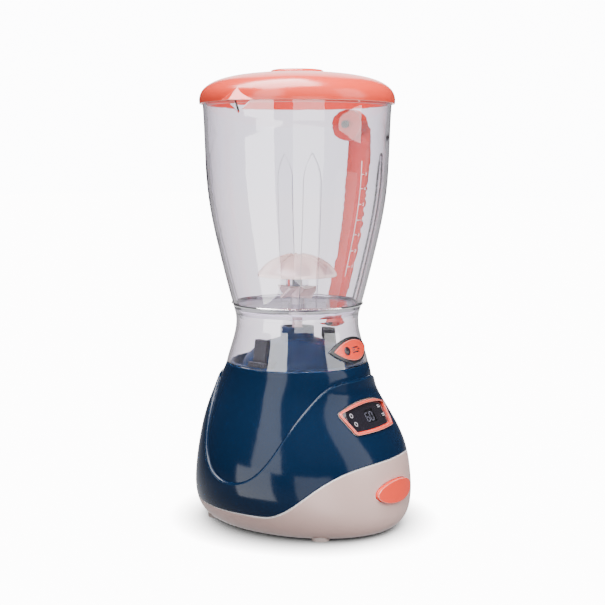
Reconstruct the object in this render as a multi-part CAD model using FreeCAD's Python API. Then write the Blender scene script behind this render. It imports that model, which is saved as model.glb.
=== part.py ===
import FreeCAD
import Part
import functools
import math
import os

# Toy blender. Millimetres, +Z up along the drive axis, z = 0 where the feet stand.
# The front, with the display and the start button, faces -Y. The handle is on +X
# and the pouring spout on -X.

# ---- Heights of the stack ----
foot_height = 1.5
base_top = 103.3
collar_seat_gap = 0.3
collar_height = 31.7
jug_height = 134.9
lid_overlap = 1.3
lid_rise = 20.1
lid_rest_gap = 0.3

# ---- Base housings ----
base_side_reach = 72.0
base_front_reach = 77.5
base_back_reach = 66.0
base_top_radius = 46.2
# share of the height, then how far side, front and back have swollen from the rim
# of the raised shell towards their full reach
base_stations = (
    (0.00, 0.12, 0.72, 0.84),
    (0.05, 0.45, 0.93, 0.95),
    (0.15, 0.80, 1.00, 0.98),
    (0.30, 1.00, 0.93, 0.85),
    (0.50, 0.91, 0.75, 0.71),
    (0.73, 0.50, 0.27, 0.55),
    (0.84, 0.26, 0.09, 0.36),
    (1.00, 0.00, 0.00, 0.00),
)
plan_points = 32
lower_wall = 2.4
upper_wall = 3.0
core_step = 1.7
seam_back_height = 17.3
seam_front_height = 47.8
seam_wave_start = 20.0
seam_wave_end = 74.0
seam_wave_lead = 0.41
seam_wave_tail = 0.37
seam_groove = 0.5
seam_skin = 1.2
seam_tongue = 2.2
valley_bottom = 36.2
valley_shoulder_height = 60.0
valley_shoulder_reach = 29.5
valley_top = 95.4
valley_top_reach = 49.0
valley_low_pull = 12.0
valley_high_pull = 17.5
valley_side_pull = 6.5
valley_end_pull = 9.5
deck_thickness = 2.3
deck_drop = 5.0
deck_bore_radius = 12.0
locating_ring_wall = 1.8
locating_ring_rise = 1.0
ring_gap = 0.6
part_clearance = 0.1
moving_clearance = 0.4

# ---- Housing screws ----
boss_radius = 3.4
boss_front_side_setback = 32.0
boss_front_setback = 51.5
boss_back_side_setback = 34.0
boss_back_setback = 34.0
boss_joint_height = 18.0
screw_radius = 1.4
screw_hole_radius = 1.5
screw_head_radius = 2.6
screw_head_height = 1.8
screw_bite = 12.0
counterbore_radius = 2.9
counterbore_depth = 9.0
screw_hole_depth = 8.0

# ---- Feet ----
foot_radius = 5.5
foot_side_setback = 36.0
foot_front_setback = 33.5
foot_back_setback = 26.0
foot_depth = 3.5

# ---- Battery bay ----
cell_radius = 7.1
cell_body_length = 49.5
cell_nipple_length = 1.0
cell_nipple_radius = 2.7
cell_spacing = 15.4
cell_count = 3
contact_thickness = 0.5
contact_spring_length = 3.0
contact_half_size = 5.5
bay_wall = 1.6
bay_centre_y = 10.0
bay_clearance = 0.3
door_thickness = 2.0
door_lip = 5.6
door_screw_radius = 1.2
door_screw_head_radius = 2.2
door_screw_head_height = 1.2
door_screw_length = 9.0
door_boss_radius = 3.0

# ---- Drive ----
gear_module = 0.75
gear_teeth = 40
pinion_teeth = 12
pressure_angle = 25.0
addendum_share = 0.85
dedendum_share = 1.2
gear_backlash = 0.2
gear_width = 5.5
pinion_width = 6.5
gear_hub_radius = 4.5
gearbox_floor = 58.0
plate_thickness = 2.5
gear_room = 10.5
gear_end_gap = 0.3
gearbox_side_margin = 5.0
gearbox_margin = 6.5
gearbox_post_side = 1.4
gearbox_post_y = 21.0
gearbox_post_radius = 3.2
plate_corner = 4.0
motor_radius = 10.0
motor_flat = 7.7
motor_length = 25.0
motor_cap_length = 3.0
motor_nose_radius = 3.0
motor_shaft_radius = 1.0
drive_shaft_radius = 2.0
running_clearance = 0.05

# ---- Drive dome and couplings ----
dome_radius = 38.2
dome_rise = 20.5
tower_radius = 11.0
tower_rise = 7.8
tower_wall = 2.2
dome_wall = 2.0
cup_floor = 3.5
coupling_floor = 3.5
coupling_gap = 1.0
coupling_side_gap = 0.6
coupling_recess = 1.8
dog_core_radius = 3.3
dog_fin_reach = 5.4
dog_fin_width = 2.4
dog_fin_count = 4
dog_length = 7.0
dog_end_gap = 0.7
thrust_gap = 0.5

# ---- Jug catches and lock pads ----
catch_width = 9.0
catch_stem = 1.4
catch_rise = 23.0
catch_head_drop = 12.0
catch_head_depth = 4.2
catch_block_width = 15.0
catch_block_depth = 9.0
catch_block_rise = 9.5
pad_angle = 19.0
pad_height = 2.9
pad_overhang = 0.9
pad_thickness = 2.2
pad_rib_count = 7
pad_rib_width = 0.9
pad_rib_depth = 0.5

# ---- Display ----
display_centre_height = 73.6
display_half_width = 25.8
display_bottom_half_width = 20.9
display_corner_rise = 4.2
display_drop = 8.4
display_rise = 9.3
lip_width = 0.5
bezel_width = 1.4
window_land = 1.6
display_gap = 0.45
lip_proud = 0.25
bezel_proud = 1.5
window_sink = 0.4
display_seat_depth = 1.6
screen_width = 10.0
screen_height = 9.0
screen_depth = 3.8
screen_setback = 1.8
display_board_width = 38.0
display_board_height = 17.0
display_post_x = 16.0
display_post_drop = 7.0
display_post_radius = 1.4
display_post_overrun = 8.0
board_thickness = 1.6
indicator_radius = 1.3
indicator_height = 1.3
indicator_x = 14.4
indicator_lean = 1.6
indicator_spread = 2.8

# ---- Start button ----
button_half_width = 19.0
button_half_height = 6.8
button_centre_height = 28.5
button_proud = 2.2
button_travel = 1.6
button_side_gap = 0.35
button_flange = 1.6
button_back_gap = 0.3
button_flange_thickness = 1.5
button_stem_radius = 2.4
button_stem_length = 3.6
switch_size = 6.0
switch_height = 3.6
switch_nib_radius = 1.7
switch_nib_height = 1.0
switch_board_width = 26.0
switch_board_height = 12.0
spring_wire_radius = 0.5
spring_radius = 5.2
spring_turns = 4
post_width = 4.0

# ---- Boards, loudspeaker and wiring ----
main_board_length = 46.0
main_board_width = 34.0
main_board_lift = 2.0
chip_size = 9.0
chip_height = 1.8
capacitor_radius = 3.0
capacitor_height = 7.0
speaker_radius = 14.5
speaker_setback = 34.5
speaker_magnet_radius = 8.0
speaker_frame_height = 2.0
speaker_magnet_height = 4.0
speaker_rim = 1.5
sound_hole_radius = 1.3
sound_hole_circle = 7.5
sound_hole_count = 8
wire_radius = 0.7
wire_bend = 5.0

# ---- Collar ----
neck_radius = 39.9
neck_height = 27.8
collar_top_radius = 40.3
collar_wall = 2.0
spigot_wall = 1.8
spigot_rise = 1.9
spigot_shelf = 2.2
seal_height = 1.4

# ---- Jug ----
jug_top_radius = 60.5
# share of the jug's height, then share of the growth from the neck to the rim
jug_swell = ((0.083, 0.153), (0.276, 0.470), (0.450, 0.723), (0.613, 0.876), (0.791, 0.936))
jug_wall = 2.2
floor_thickness = 2.6
floor_boss_radius = 6.0
floor_boss_drop = 5.6
post_radius = 4.4
post_rise = 3.8
bush_radius = 3.5
flute_width = 11.0
flute_depth = 1.6
flute_top = 102.5
flute_arch = 17.0
flute_count = 4
spout_reach = 3.6
spout_half_width = 17.0
spout_drop = 15.0
spout_root = 3.5
spout_wall = 2.0

# ---- Blades ----
blade_reach = 13.5
blade_chord = 10.0
blade_thickness = 1.4
blade_pitch = 42.0
blade_count = 4
blade_hub_radius = 5.0
blade_room = 7.6
clear_hub_radius = 7.3
clear_hub_height = 6.2
cap_radius = 25.7
cap_height = 13.7
cap_wall = 1.8
cap_rim_height = 1.2
cap_boss_radius = 4.5
cap_rib_count = 8
cap_rib_width = 1.6
cap_rib_rise = 0.9
shaft_grip = 4.0

# ---- Handle ----
hub_radius = 10.7
hub_width = 24.6
hub_below_rim = 12.4
hub_length = 6.5
handle_seat_gap = 0.05
foot_pad_width = 18.0
foot_pad_height = 6.2
foot_pad_z = 21.2
foot_pad_depth = 7.0
foot_pad_round = 0.8
hub_lean = 6.0
hub_taper = 0.96
shoulder_share = 0.28
shoulder_drop = 2.6
shoulder_lean = 42.0
shoulder_swell = 1.5
# height above the neck seam, stand-off of the centreline from the jug wall,
# width across, thickness
handle_stations = (
    (112.5, 18.6, 20.2, 14.4),
    (102.0, 18.4, 19.9, 13.8),
    (85.0, 17.2, 19.4, 12.8),
    (61.0, 15.8, 18.6, 11.6),
    (36.0, 14.2, 17.8, 10.6),
    (20.0, 10.2, 17.2, 9.8),
    (7.0, 8.0, 16.4, 7.4),
)
hub_screw_length = 9.0
foot_screw_length = 5.5

# ---- Badge ----
badge_half_width = 17.0
badge_half_height = 6.4
badge_height = 10.9
badge_bezel_width = 1.6
badge_bezel_proud = 1.2
badge_plate_proud = 1.6

# ---- Lid ----
lid_radius = 62.4
lid_wall = 2.0
lid_side_gap = 0.4
skirt_gap = 0.7
skirt_wall = 1.9
skirt_drop = 2.4
lid_ledge = 0.8
lid_spout_gap = 0.6
lid_spout_reach = 7.1
lid_spout_half_width = 19.0
lid_spout_rise = 11.6
lid_cap_radius = 17.0
lid_cap_rise = 1.6
lid_cap_seat = 0.6

# ---- Derived heights and radii ----
collar_bottom = base_top + collar_seat_gap
neck_seam = collar_bottom + collar_height
jug_top = neck_seam + jug_height
lid_bottom = jug_top - lid_overlap
lid_top = lid_bottom + lid_rise
deck_top = base_top - deck_drop
cup_bottom = deck_top + dome_rise - tower_wall - cup_floor - coupling_gap
tower_top = deck_top + dome_rise + tower_rise
coupling_bottom = cup_bottom + coupling_gap
coupling_top = tower_top - coupling_recess
floor_bottom = neck_seam + spigot_rise + seal_height
floor_top = floor_bottom + floor_thickness
post_top = floor_top + post_rise
floor_boss_bottom = floor_bottom - floor_boss_drop
dog_bottom = coupling_bottom + coupling_floor + dog_end_gap
dog_top = floor_boss_bottom - thrust_gap
blade_bottom = post_top + thrust_gap
clear_hub_bottom = blade_bottom + blade_room
cap_bottom = clear_hub_bottom + clear_hub_height
flute_spring = neck_seam + flute_top - flute_arch
gearbox_top = gearbox_floor + plate_thickness + gear_room
gear_distance = gear_module * (gear_teeth + pinion_teeth) / 2
cell_axis_height = foot_height + door_thickness + bay_clearance + cell_radius
bay_half_length = (cell_body_length + cell_nipple_length + contact_spring_length) / 2 + contact_thickness
bay_half_width = (cell_spacing * (cell_count - 1) / 2) + cell_radius + bay_clearance
bay_inner_top = cell_axis_height + cell_radius + bay_clearance
bay_top = bay_inner_top + bay_wall
main_board_bottom = bay_top + main_board_lift
main_board_top = main_board_bottom + board_thickness
contact_x = bay_half_length - contact_thickness / 2
door_screw_x = bay_half_length + bay_wall + door_boss_radius - 0.4
door_screw_top = foot_height + door_screw_length
display_board_depth = screen_setback + screen_depth
foot_x = base_side_reach - foot_side_setback
foot_front_y = foot_front_setback - base_front_reach
foot_back_y = base_back_reach - foot_back_setback
boss_front_x = base_side_reach - boss_front_side_setback
boss_front_y = boss_front_setback - base_front_reach
boss_back_x = base_side_reach - boss_back_side_setback
boss_back_y = base_back_reach - boss_back_setback
speaker_y = speaker_setback - base_front_reach
gear_tip_radius = gear_module * (gear_teeth / 2 + addendum_share)
gearbox_post_x = gear_tip_radius + gearbox_post_side
gearbox_half_width = gearbox_post_x + gearbox_side_margin
far = 4 * base_front_reach


def vec(x, y, z):
    return FreeCAD.Vector(x, y, z)


def box(x0, x1, y0, y1, z0, z1):
    return Part.makeBox(x1 - x0, y1 - y0, z1 - z0, vec(x0, y0, z0))


def rod(radius, z0, z1, x=0.0, y=0.0):
    return Part.makeCylinder(radius, z1 - z0, vec(x, y, z0))


def tube(outer, inner, z0, z1, x=0.0, y=0.0):
    return rod(outer, z0, z1, x, y).cut(rod(inner, z0 - 1, z1 + 1, x, y))


def joined(shapes):
    return shapes[0].fuse(shapes[1:]).removeSplitter()


def group(shapes):
    return Part.makeCompound(shapes)


def spline(points):
    curve = Part.BSplineCurve()
    curve.interpolate(points)
    return curve.toShape()


def turned(points, first_edges=1, last_edges=0):
    """Solid of revolution: straight edges at both ends of the list, a spline between."""
    vectors = [vec(r, 0, z) for r, z in points]
    smooth = vectors[first_edges:len(vectors) - last_edges]
    edges = [Part.makeLine(a, b) for a, b in zip(vectors[:first_edges], vectors[1:])]
    edges.append(spline(smooth))
    tail = vectors[len(vectors) - last_edges - 1:]
    edges += [Part.makeLine(a, b) for a, b in zip(tail, tail[1:])]
    edges.append(Part.makeLine(vectors[-1], vectors[0]))
    return Part.Face(Part.Wire(edges)).revolve(vec(0, 0, 0), vec(0, 0, 1), 360)


def lower(shape, z):
    return shape.common(box(-far, far, -far, far, -far, z))


def upper(shape, z):
    return shape.common(box(-far, far, -far, far, z, far * 2))


# ---- Base surfaces ----
def plan_wire(height, inset, side_share, front_share, back_share):
    rim = base_top_radius + core_step
    side = rim + (base_side_reach - rim) * side_share - inset
    front = rim + (base_front_reach - rim) * front_share - inset
    back = rim + (base_back_reach - rim) * back_share - inset
    points = []
    for step in range(plan_points):
        angle = 2 * math.pi * step / plan_points
        reach = back if math.cos(angle) > 0 else front
        points.append(vec(-side * math.sin(angle), reach * math.cos(angle), height))
    curve = Part.BSplineCurve()
    curve.interpolate(Points=points, PeriodicFlag=True)
    return Part.Wire(curve.toShape())


@functools.lru_cache(maxsize=None)
def base_skin(inset):
    """The base's outer surface as a solid, moved inwards by inset."""
    wires = []
    for share, side, front, back in base_stations:
        height = foot_height + (base_top - foot_height) * share
        wires.append(plan_wire(height, inset, side, front, back))
    return Part.makeLoft(wires, True)


def bezier(points):
    curve = Part.BezierCurve()
    curve.setPoles(points)
    return curve.toShape()


def below_seam(raised):
    """Everything below the wavy line between the housings, raised by a given height."""
    low = seam_back_height + raised
    high = seam_front_height + raised
    span = seam_wave_end - seam_wave_start
    corners = [vec(-far, -far, high), vec(-far, -far, -far), vec(-far, far, -far), vec(-far, far, low),
               vec(-far, -seam_wave_start, low)]
    edges = [Part.makeLine(a, b) for a, b in zip(corners, corners[1:])]
    edges.append(bezier([corners[-1], vec(-far, -seam_wave_start - seam_wave_lead * span, low),
                         vec(-far, -seam_wave_start - (1 - seam_wave_tail) * span, high),
                         vec(-far, -seam_wave_end, high)]))
    edges.append(Part.makeLine(vec(-far, -seam_wave_end, high), corners[0]))
    return Part.Face(Part.Wire(edges)).extrude(vec(2 * far, 0, 0))


def valley():
    """The space above the U-shaped edge of the raised shell, where the core lies lower."""
    half = []
    for side in (-1, 1):
        low = bezier([vec(-far, 0, valley_bottom), vec(-far, side * valley_shoulder_reach * 0.54, valley_bottom),
                      vec(-far, side * valley_shoulder_reach * 0.85, valley_shoulder_height - valley_low_pull),
                      vec(-far, side * valley_shoulder_reach, valley_shoulder_height)])
        high = bezier([vec(-far, side * valley_shoulder_reach, valley_shoulder_height),
                       vec(-far, side * (valley_shoulder_reach + valley_side_pull),
                           valley_shoulder_height + valley_high_pull),
                       vec(-far, side * (valley_top_reach - valley_end_pull), valley_top),
                       vec(-far, side * valley_top_reach, valley_top)])
        level = Part.makeLine(vec(-far, side * valley_top_reach, valley_top), vec(-far, side * far, valley_top))
        rise = Part.makeLine(vec(-far, side * far, valley_top), vec(-far, side * far, far))
        half.append([low, high, level, rise])
    roof = Part.makeLine(vec(-far, far, far), vec(-far, -far, far))
    edges = list(reversed(half[0])) + half[1] + [roof]
    return Part.Face(Part.Wire(Part.__sortEdges__(edges))).extrude(vec(2 * far, 0, 0))


outer_skin = base_skin(0)
core_skin = base_skin(core_step)
boss_places = [(side * x, y) for side in (-1, 1) for x, y in ((boss_front_x, boss_front_y),
                                                             (boss_back_x, boss_back_y))]


def display_outline(grow):
    """Arched display outline in the XZ plane, extruded through the front wall."""
    low = display_centre_height - display_drop - grow
    corner = display_centre_height + display_corner_rise
    left = vec(-display_half_width - grow, 0, corner)
    right = vec(display_half_width + grow, 0, corner)
    bottom_left = vec(-display_bottom_half_width - grow * 0.7, 0, low)
    bottom_right = vec(display_bottom_half_width + grow * 0.7, 0, low)
    top = vec(0, 0, display_centre_height + display_rise + grow)
    edges = [Part.Arc(left, top, right).toShape(), Part.makeLine(right, bottom_right),
             Part.makeLine(bottom_right, bottom_left), Part.makeLine(bottom_left, left)]
    solid = Part.Face(Part.Wire(edges)).extrude(vec(0, -far, 0))
    sharp = [e for e in solid.Edges if e.BoundBox.YLength > far / 2]
    return solid.makeFillet(2.2 + grow * 0.5, sharp)


def button_outline(grow):
    """Oval button outline, extruded through the front wall."""
    oval = Part.Ellipse(vec(0, 0, button_centre_height), button_half_width + grow, button_half_height + grow)
    oval.rotate(FreeCAD.Placement(vec(0, 0, button_centre_height), FreeCAD.Rotation(vec(1, 0, 0), 90),
                                  vec(0, 0, 0)))
    wire = Part.Wire(oval.toShape())
    centre = wire.BoundBox.Center
    wire.translate(vec(0, 0, button_centre_height) - centre)
    return Part.Face(wire).extrude(vec(0, -far, 0))


def front_layer(outline, outer_inset, inner_inset):
    return outline.common(base_skin(outer_inset)).cut(base_skin(inner_inset))


def front_wall_y(height, inset):
    """Where the base surface meets the plane x = 0 at the front, at a height."""
    ray = Part.makeLine(vec(0, 0, height), vec(0, -far, height))
    return ray.common(base_skin(inset)).BoundBox.YMin


def display_placed(shape):
    """Moves a shape from display axes, z out of the window and y up it, to its place."""
    face_y = front_wall_y(display_centre_height, 0)
    half = screen_height / 2
    lean = front_wall_y(display_centre_height + half, 0) - front_wall_y(display_centre_height - half, 0)
    turn = FreeCAD.Rotation(vec(1, 0, 0), 90 - math.degrees(math.atan2(lean, screen_height)))
    return shape.transformed(FreeCAD.Placement(vec(0, face_y, display_centre_height), turn).toMatrix())


def screen_block(grow):
    """The digit display behind the window, standing on its board."""
    block = box(-screen_width / 2 - grow, screen_width / 2 + grow, -screen_height / 2 - grow,
                screen_height / 2 + grow, -display_board_depth, -screen_setback)
    return display_placed(block)


def lights(grow):
    """Four indicator lights on the display board, two beside each end of the screen."""
    placed = []
    for side in (-1, 1):
        for up in (-1, 1):
            x = side * (indicator_x + up * indicator_lean)
            light = Part.makeCylinder(indicator_radius + grow, indicator_height + grow,
                                      vec(x, up * indicator_spread, -display_board_depth))
            placed.append(display_placed(light))
    return placed


# ---- Lower housing: a beige bowl with the battery bay, bosses and the button opening ----
def bay_box(grow, z0, z1):
    length = bay_half_length + grow
    width = bay_half_width + grow
    return box(-length, length, bay_centre_y - width, bay_centre_y + width, z0, z1)


flange_inset = lower_wall + button_back_gap
flange_back_y = front_wall_y(button_centre_height, flange_inset + button_flange_thickness)
stem_end_y = flange_back_y + button_stem_length
switch_front_y = stem_end_y + button_travel + moving_clearance
switch_board_front_y = switch_front_y + switch_nib_height + switch_height
switch_board_back_y = switch_board_front_y + board_thickness
door_half_length = bay_half_length + bay_wall + door_lip
door_half_width = bay_half_width + bay_wall


def door_plate(grow):
    return box(-door_half_length - grow, door_half_length + grow, bay_centre_y - door_half_width - grow,
               bay_centre_y + door_half_width + grow, foot_height, foot_height + door_thickness + grow)


def make_lower_housing():
    below = outer_skin.common(below_seam(0))
    cavity = upper(base_skin(lower_wall), foot_height + lower_wall).common(below_seam(far / 4))
    shell = below.cut(cavity)
    tongue = base_skin(seam_skin + part_clearance).cut(base_skin(lower_wall))
    tongue = tongue.common(below_seam(seam_tongue)).cut(below_seam(-1))
    pieces = [shell, tongue]
    for x, y in boss_places:
        pieces.append(rod(boss_radius, foot_height, boss_joint_height, x, y).common(base_skin(seam_skin)))
    pieces.append(bay_box(bay_wall, foot_height, bay_top))
    pieces.append(rod(door_boss_radius, foot_height, door_screw_top + 1, door_screw_x, bay_centre_y))
    pieces.append(tube(speaker_radius + speaker_rim, speaker_radius + part_clearance,
                       foot_height + lower_wall - 1, foot_height + lower_wall + speaker_frame_height, 0, speaker_y))
    board_half = main_board_length / 2 - 3
    for x in (-board_half, board_half):
        for y in (-1, 1):
            pieces.append(rod(2.2, bay_inner_top, main_board_bottom, x,
                              bay_centre_y + y * (main_board_width / 2 - 3)))
    for side in (-1, 1):
        x = side * (switch_board_width / 2 - post_width / 2)
        pieces.append(box(x - post_width / 2, x + post_width / 2, switch_board_back_y,
                          switch_board_back_y + 2.5, foot_height + 1,
                          button_centre_height + switch_board_height / 2))
    solid = pieces[0].fuse(pieces[1:])
    cuts = [bay_box(0, foot_height - 1, bay_inner_top), door_plate(part_clearance * 2),
            front_layer(button_outline(button_side_gap), -button_proud, lower_wall + 1)]
    for x, y in boss_places:
        cuts.append(rod(screw_hole_radius, 0, far, x, y))
        cuts.append(rod(counterbore_radius, 0, counterbore_depth, x, y))
    cuts.append(rod(door_screw_radius + part_clearance, 0, door_screw_top, door_screw_x, bay_centre_y))
    for side in (-1, 1):
        cuts.append(rod(wire_radius + part_clearance, cell_axis_height + contact_half_size, bay_top + 1,
                        side * contact_x, bay_centre_y))
    cuts.append(rod(sound_hole_radius, 0, foot_height + lower_wall + 1, 0, speaker_y))
    for step in range(sound_hole_count):
        angle = 2 * math.pi * step / sound_hole_count
        cuts.append(rod(sound_hole_radius, 0, foot_height + lower_wall + 1,
                        sound_hole_circle * math.cos(angle), speaker_y + sound_hole_circle * math.sin(angle)))
    return solid.cut(cuts)


# ---- Upper housing: a navy shell, raised around a lower core, closed by a deck ----
def make_upper_housing():
    body = outer_skin.cut(valley()).fuse(core_skin)
    body = body.cut(below_seam(seam_groove))
    cavity = base_skin(upper_wall)
    room = lower(cavity, deck_top - deck_thickness)
    rebate = base_skin(seam_skin).common(below_seam(seam_tongue + moving_clearance))
    ring_outer = base_top_radius - collar_wall - ring_gap
    ring_inner = ring_outer - locating_ring_wall
    body = body.cut([room, rebate, rod(ring_inner, deck_top, far), rod(deck_bore_radius, 0, far)])
    ring = tube(ring_outer, ring_inner, deck_top - 1, base_top + locating_ring_rise)
    pieces = [body, ring]
    for x, y in boss_places:
        pieces.append(rod(boss_radius, boss_joint_height + part_clearance, far / 2, x, y)
                      .common(base_skin(core_step + 0.6)).cut(rod(screw_hole_radius, 0, boss_joint_height
                                                                  + screw_bite, x, y)))
    for x in (-gearbox_post_x, gearbox_post_x):
        for y in (gear_distance / 2 - gearbox_post_y, gear_distance / 2 + gearbox_post_y):
            post = rod(gearbox_post_radius, gearbox_top + plate_thickness, deck_top - deck_thickness / 2, x, y)
            pieces.append(post.cut(rod(screw_hole_radius, 0, gearbox_top + plate_thickness + screw_hole_depth, x, y)))
    for x in (-display_post_x, display_post_x):
        post = Part.makeCylinder(display_post_radius, display_board_depth + display_post_overrun,
                                 vec(x, -display_post_drop, -display_board_depth))
        pieces.append(display_placed(post).common(base_skin(upper_wall - 1)))
    solid = joined(pieces)
    seat = front_layer(display_outline(lip_width + display_gap), -bezel_proud, display_seat_depth)
    through = front_layer(display_outline(-bezel_width - window_land), -bezel_proud, upper_wall + 1)
    return solid.cut([seat, through, screen_block(part_clearance)] + lights(part_clearance))


# ---- Small plastic and rubber pieces of the base ----
def make_feet():
    places = [(side * foot_x, y) for side in (-1, 1) for y in (foot_front_y, foot_back_y)]
    return group([rod(foot_radius, 0, foot_depth, x, y).cut(outer_skin) for x, y in places])


def pan_screw(radius, head_radius, head_height, length):
    """A screw pointing up +Z with its head below z = 0 and a cross slot in the head."""
    slot = head_height * 0.6
    cross = [box(-head_radius * 0.6, head_radius * 0.6, -0.3, 0.3, -head_height - 1, slot - head_height),
             box(-0.3, 0.3, -head_radius * 0.6, head_radius * 0.6, -head_height - 1, slot - head_height)]
    return rod(head_radius, -head_height, 0).fuse(rod(radius, -0.1, length)).removeSplitter().cut(cross)


def moved(shape, x, y, z):
    copy = shape.copy()
    copy.translate(vec(x, y, z))
    return copy


def make_housing_screws():
    length = boss_joint_height + screw_bite - counterbore_depth - 1
    screw = pan_screw(screw_radius, screw_head_radius, screw_head_height, length)
    return group([moved(screw, x, y, counterbore_depth) for x, y in boss_places])


def make_battery_door():
    plate = door_plate(0)
    seat = foot_height + door_screw_head_height
    return plate.cut([rod(door_screw_radius + part_clearance, 0, far, door_screw_x, bay_centre_y),
                      rod(door_screw_head_radius + part_clearance, 0, seat, door_screw_x, bay_centre_y)])


def make_battery_door_screw():
    screw = pan_screw(door_screw_radius, door_screw_head_radius, door_screw_head_height,
                      door_screw_length - door_screw_head_height - 1)
    return moved(screw, door_screw_x, bay_centre_y, foot_height + door_screw_head_height)


# ---- Cells and contacts: neighbours lie head to tail ----
def cell_places():
    first = bay_centre_y - cell_spacing * (cell_count - 1) / 2
    return [(first + step * cell_spacing, 1 if step % 2 == 0 else -1) for step in range(cell_count)]


def along_x(shape, side, x, y, z):
    """Turns a shape that points up +Z so that it points along side * X, and moves it."""
    turn = FreeCAD.Rotation(vec(0, 1, 0), 90 * side)
    return shape.transformed(FreeCAD.Placement(vec(x, y, z), turn).toMatrix())


def make_battery_cells():
    cell = joined([rod(cell_radius, 0, cell_body_length),
                   rod(cell_nipple_radius, cell_body_length - 0.1, cell_body_length + cell_nipple_length)])
    start = bay_half_length - contact_thickness - contact_spring_length
    return group([along_x(cell, side, -side * start, y, cell_axis_height) for y, side in cell_places()])


def make_battery_contacts():
    solids = []
    for y, side in cell_places():
        for end in (-1, 1):
            x = end * contact_x
            plate = box(x - contact_thickness / 2, x + contact_thickness / 2, y - contact_half_size,
                        y + contact_half_size, cell_axis_height - contact_half_size,
                        cell_axis_height + contact_half_size)
            if end == -side:
                cone = Part.makeCone(contact_half_size - 1, cell_nipple_radius, contact_spring_length)
                plate = plate.fuse(along_x(cone, side, end * (bay_half_length - contact_thickness), y,
                                           cell_axis_height)).removeSplitter()
            solids.append(plate)
    return group(solids)


# ---- Drive dome: a bell with a tower on it, whose cup holds the driving coupling ----
def dome_solid(inset):
    reach = dome_radius - inset
    top = deck_top + dome_rise - inset
    rise = top - deck_top
    points = [(0, deck_top), (reach, deck_top), (reach * 0.925, deck_top + rise * 0.29),
              (reach * 0.83, deck_top + rise * 0.49), (reach * 0.57, deck_top + rise * 0.83),
              (reach * 0.36, deck_top + rise * 0.965), (tower_radius - inset, top), (0, top)]
    return turned(points, 1, 1)


def make_drive_dome():
    outside = dome_solid(0).fuse(rod(tower_radius, deck_top, tower_top)).removeSplitter()
    rim = [e for e in outside.Edges if abs(e.BoundBox.ZMin - tower_top) < 0.01 and e.BoundBox.ZLength < 0.01]
    outside = outside.makeFillet(0.7, rim)
    half = catch_block_width / 2
    outside = outside.fuse([box(*sorted((side * dome_radius, side * (dome_radius - catch_block_depth))), -half, half,
                                deck_top, deck_top + catch_block_rise) for side in (-1, 1)]).removeSplitter()
    hollow = dome_solid(dome_wall).cut(rod(tower_radius, cup_bottom - cup_floor, far))
    flange_room = rod(deck_bore_radius, deck_top - 1, deck_top + 1)
    return outside.cut([hollow, flange_room, rod(tower_radius - tower_wall, cup_bottom, far),
                        rod(drive_shaft_radius + running_clearance, 0, far)])


# ---- Catches and ribbed pads beside the dome, one pair on each side ----
def ring_slice(inner, outer, z0, z1, angle):
    """A slice of a ring about Z, centred on +X."""
    ring = tube(outer, inner, z0, z1)
    reach = 2 * outer
    half = math.radians(angle / 2)
    wedge = Part.makePolygon([vec(0, 0, z0), vec(reach, -reach * math.tan(half), z0),
                              vec(reach, reach * math.tan(half), z0), vec(0, 0, z0)])
    return ring.common(Part.Face(wedge).extrude(vec(0, 0, z1 - z0)))


def mirrored_pair(shape):
    return group([shape, shape.mirror(vec(0, 0, 0), vec(1, 0, 0))])


def make_jug_catches():
    foot = dome_radius + moving_clearance
    top = deck_top + catch_rise
    under = top - catch_head_drop
    ledge = top - catch_head_drop / 2
    corners = [(foot, deck_top), (foot + catch_stem, deck_top), (foot + catch_stem, under),
               (foot + 0.9, ledge - 2), (foot - 0.5, top), (foot - catch_head_depth + 0.5, top),
               (foot - catch_head_depth, ledge), (foot - 1.2, under + 1.5), (foot, under - 1.5)]
    outline = [vec(x, -catch_width / 2, z) for x, z in corners]
    hook = Part.Face(Part.makePolygon(outline + outline[:1])).extrude(vec(0, catch_width, 0))
    return mirrored_pair(hook)


def make_lock_pads():
    inner = math.hypot(dome_radius + moving_clearance + catch_stem + part_clearance, catch_width / 2)
    ring_top = base_top + locating_ring_rise + part_clearance
    pad = ring_slice(inner, inner + pad_thickness, deck_top, ring_top + pad_height, pad_angle)
    pad = pad.cut(tube(far, inner + pad_thickness - pad_overhang, deck_top - 1, ring_top))
    grooves = []
    for step in range(pad_rib_count):
        angle = pad_angle * ((step + 0.5) / pad_rib_count - 0.5)
        groove = box(inner + pad_thickness - pad_rib_depth, far, -pad_rib_width / 2, pad_rib_width / 2,
                     ring_top + pad_rib_depth, ring_top + pad_height - pad_rib_depth)
        grooves.append(groove.rotate(vec(0, 0, 0), vec(0, 0, 1), angle))
    return mirrored_pair(pad.cut(grooves))


# ---- Display stack: trim lip, bezel, window, screen, board and indicator lights ----
def make_display_lip():
    ring = display_outline(lip_width).cut(display_outline(part_clearance / 2))
    return front_layer(ring, -lip_proud, display_seat_depth)


def make_display_bezel():
    ring = display_outline(0).cut(display_outline(-bezel_width))
    return front_layer(ring, -bezel_proud, display_seat_depth)


def make_display_window():
    return front_layer(display_outline(-bezel_width - part_clearance / 2), window_sink, display_seat_depth)


def make_screen():
    return screen_block(0)


def make_display_board():
    plate = box(-display_board_width / 2, display_board_width / 2, -display_board_height / 2,
                display_board_height / 2, -display_board_depth - board_thickness, -display_board_depth)
    return display_placed(plate)


def make_indicator_lights():
    return group(lights(0))


# ---- Start button, its switch and its return spring ----
def along_y(radius, y0, y1, x, z):
    return Part.makeCylinder(radius, y1 - y0, vec(x, y0, z), vec(0, 1, 0))


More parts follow.
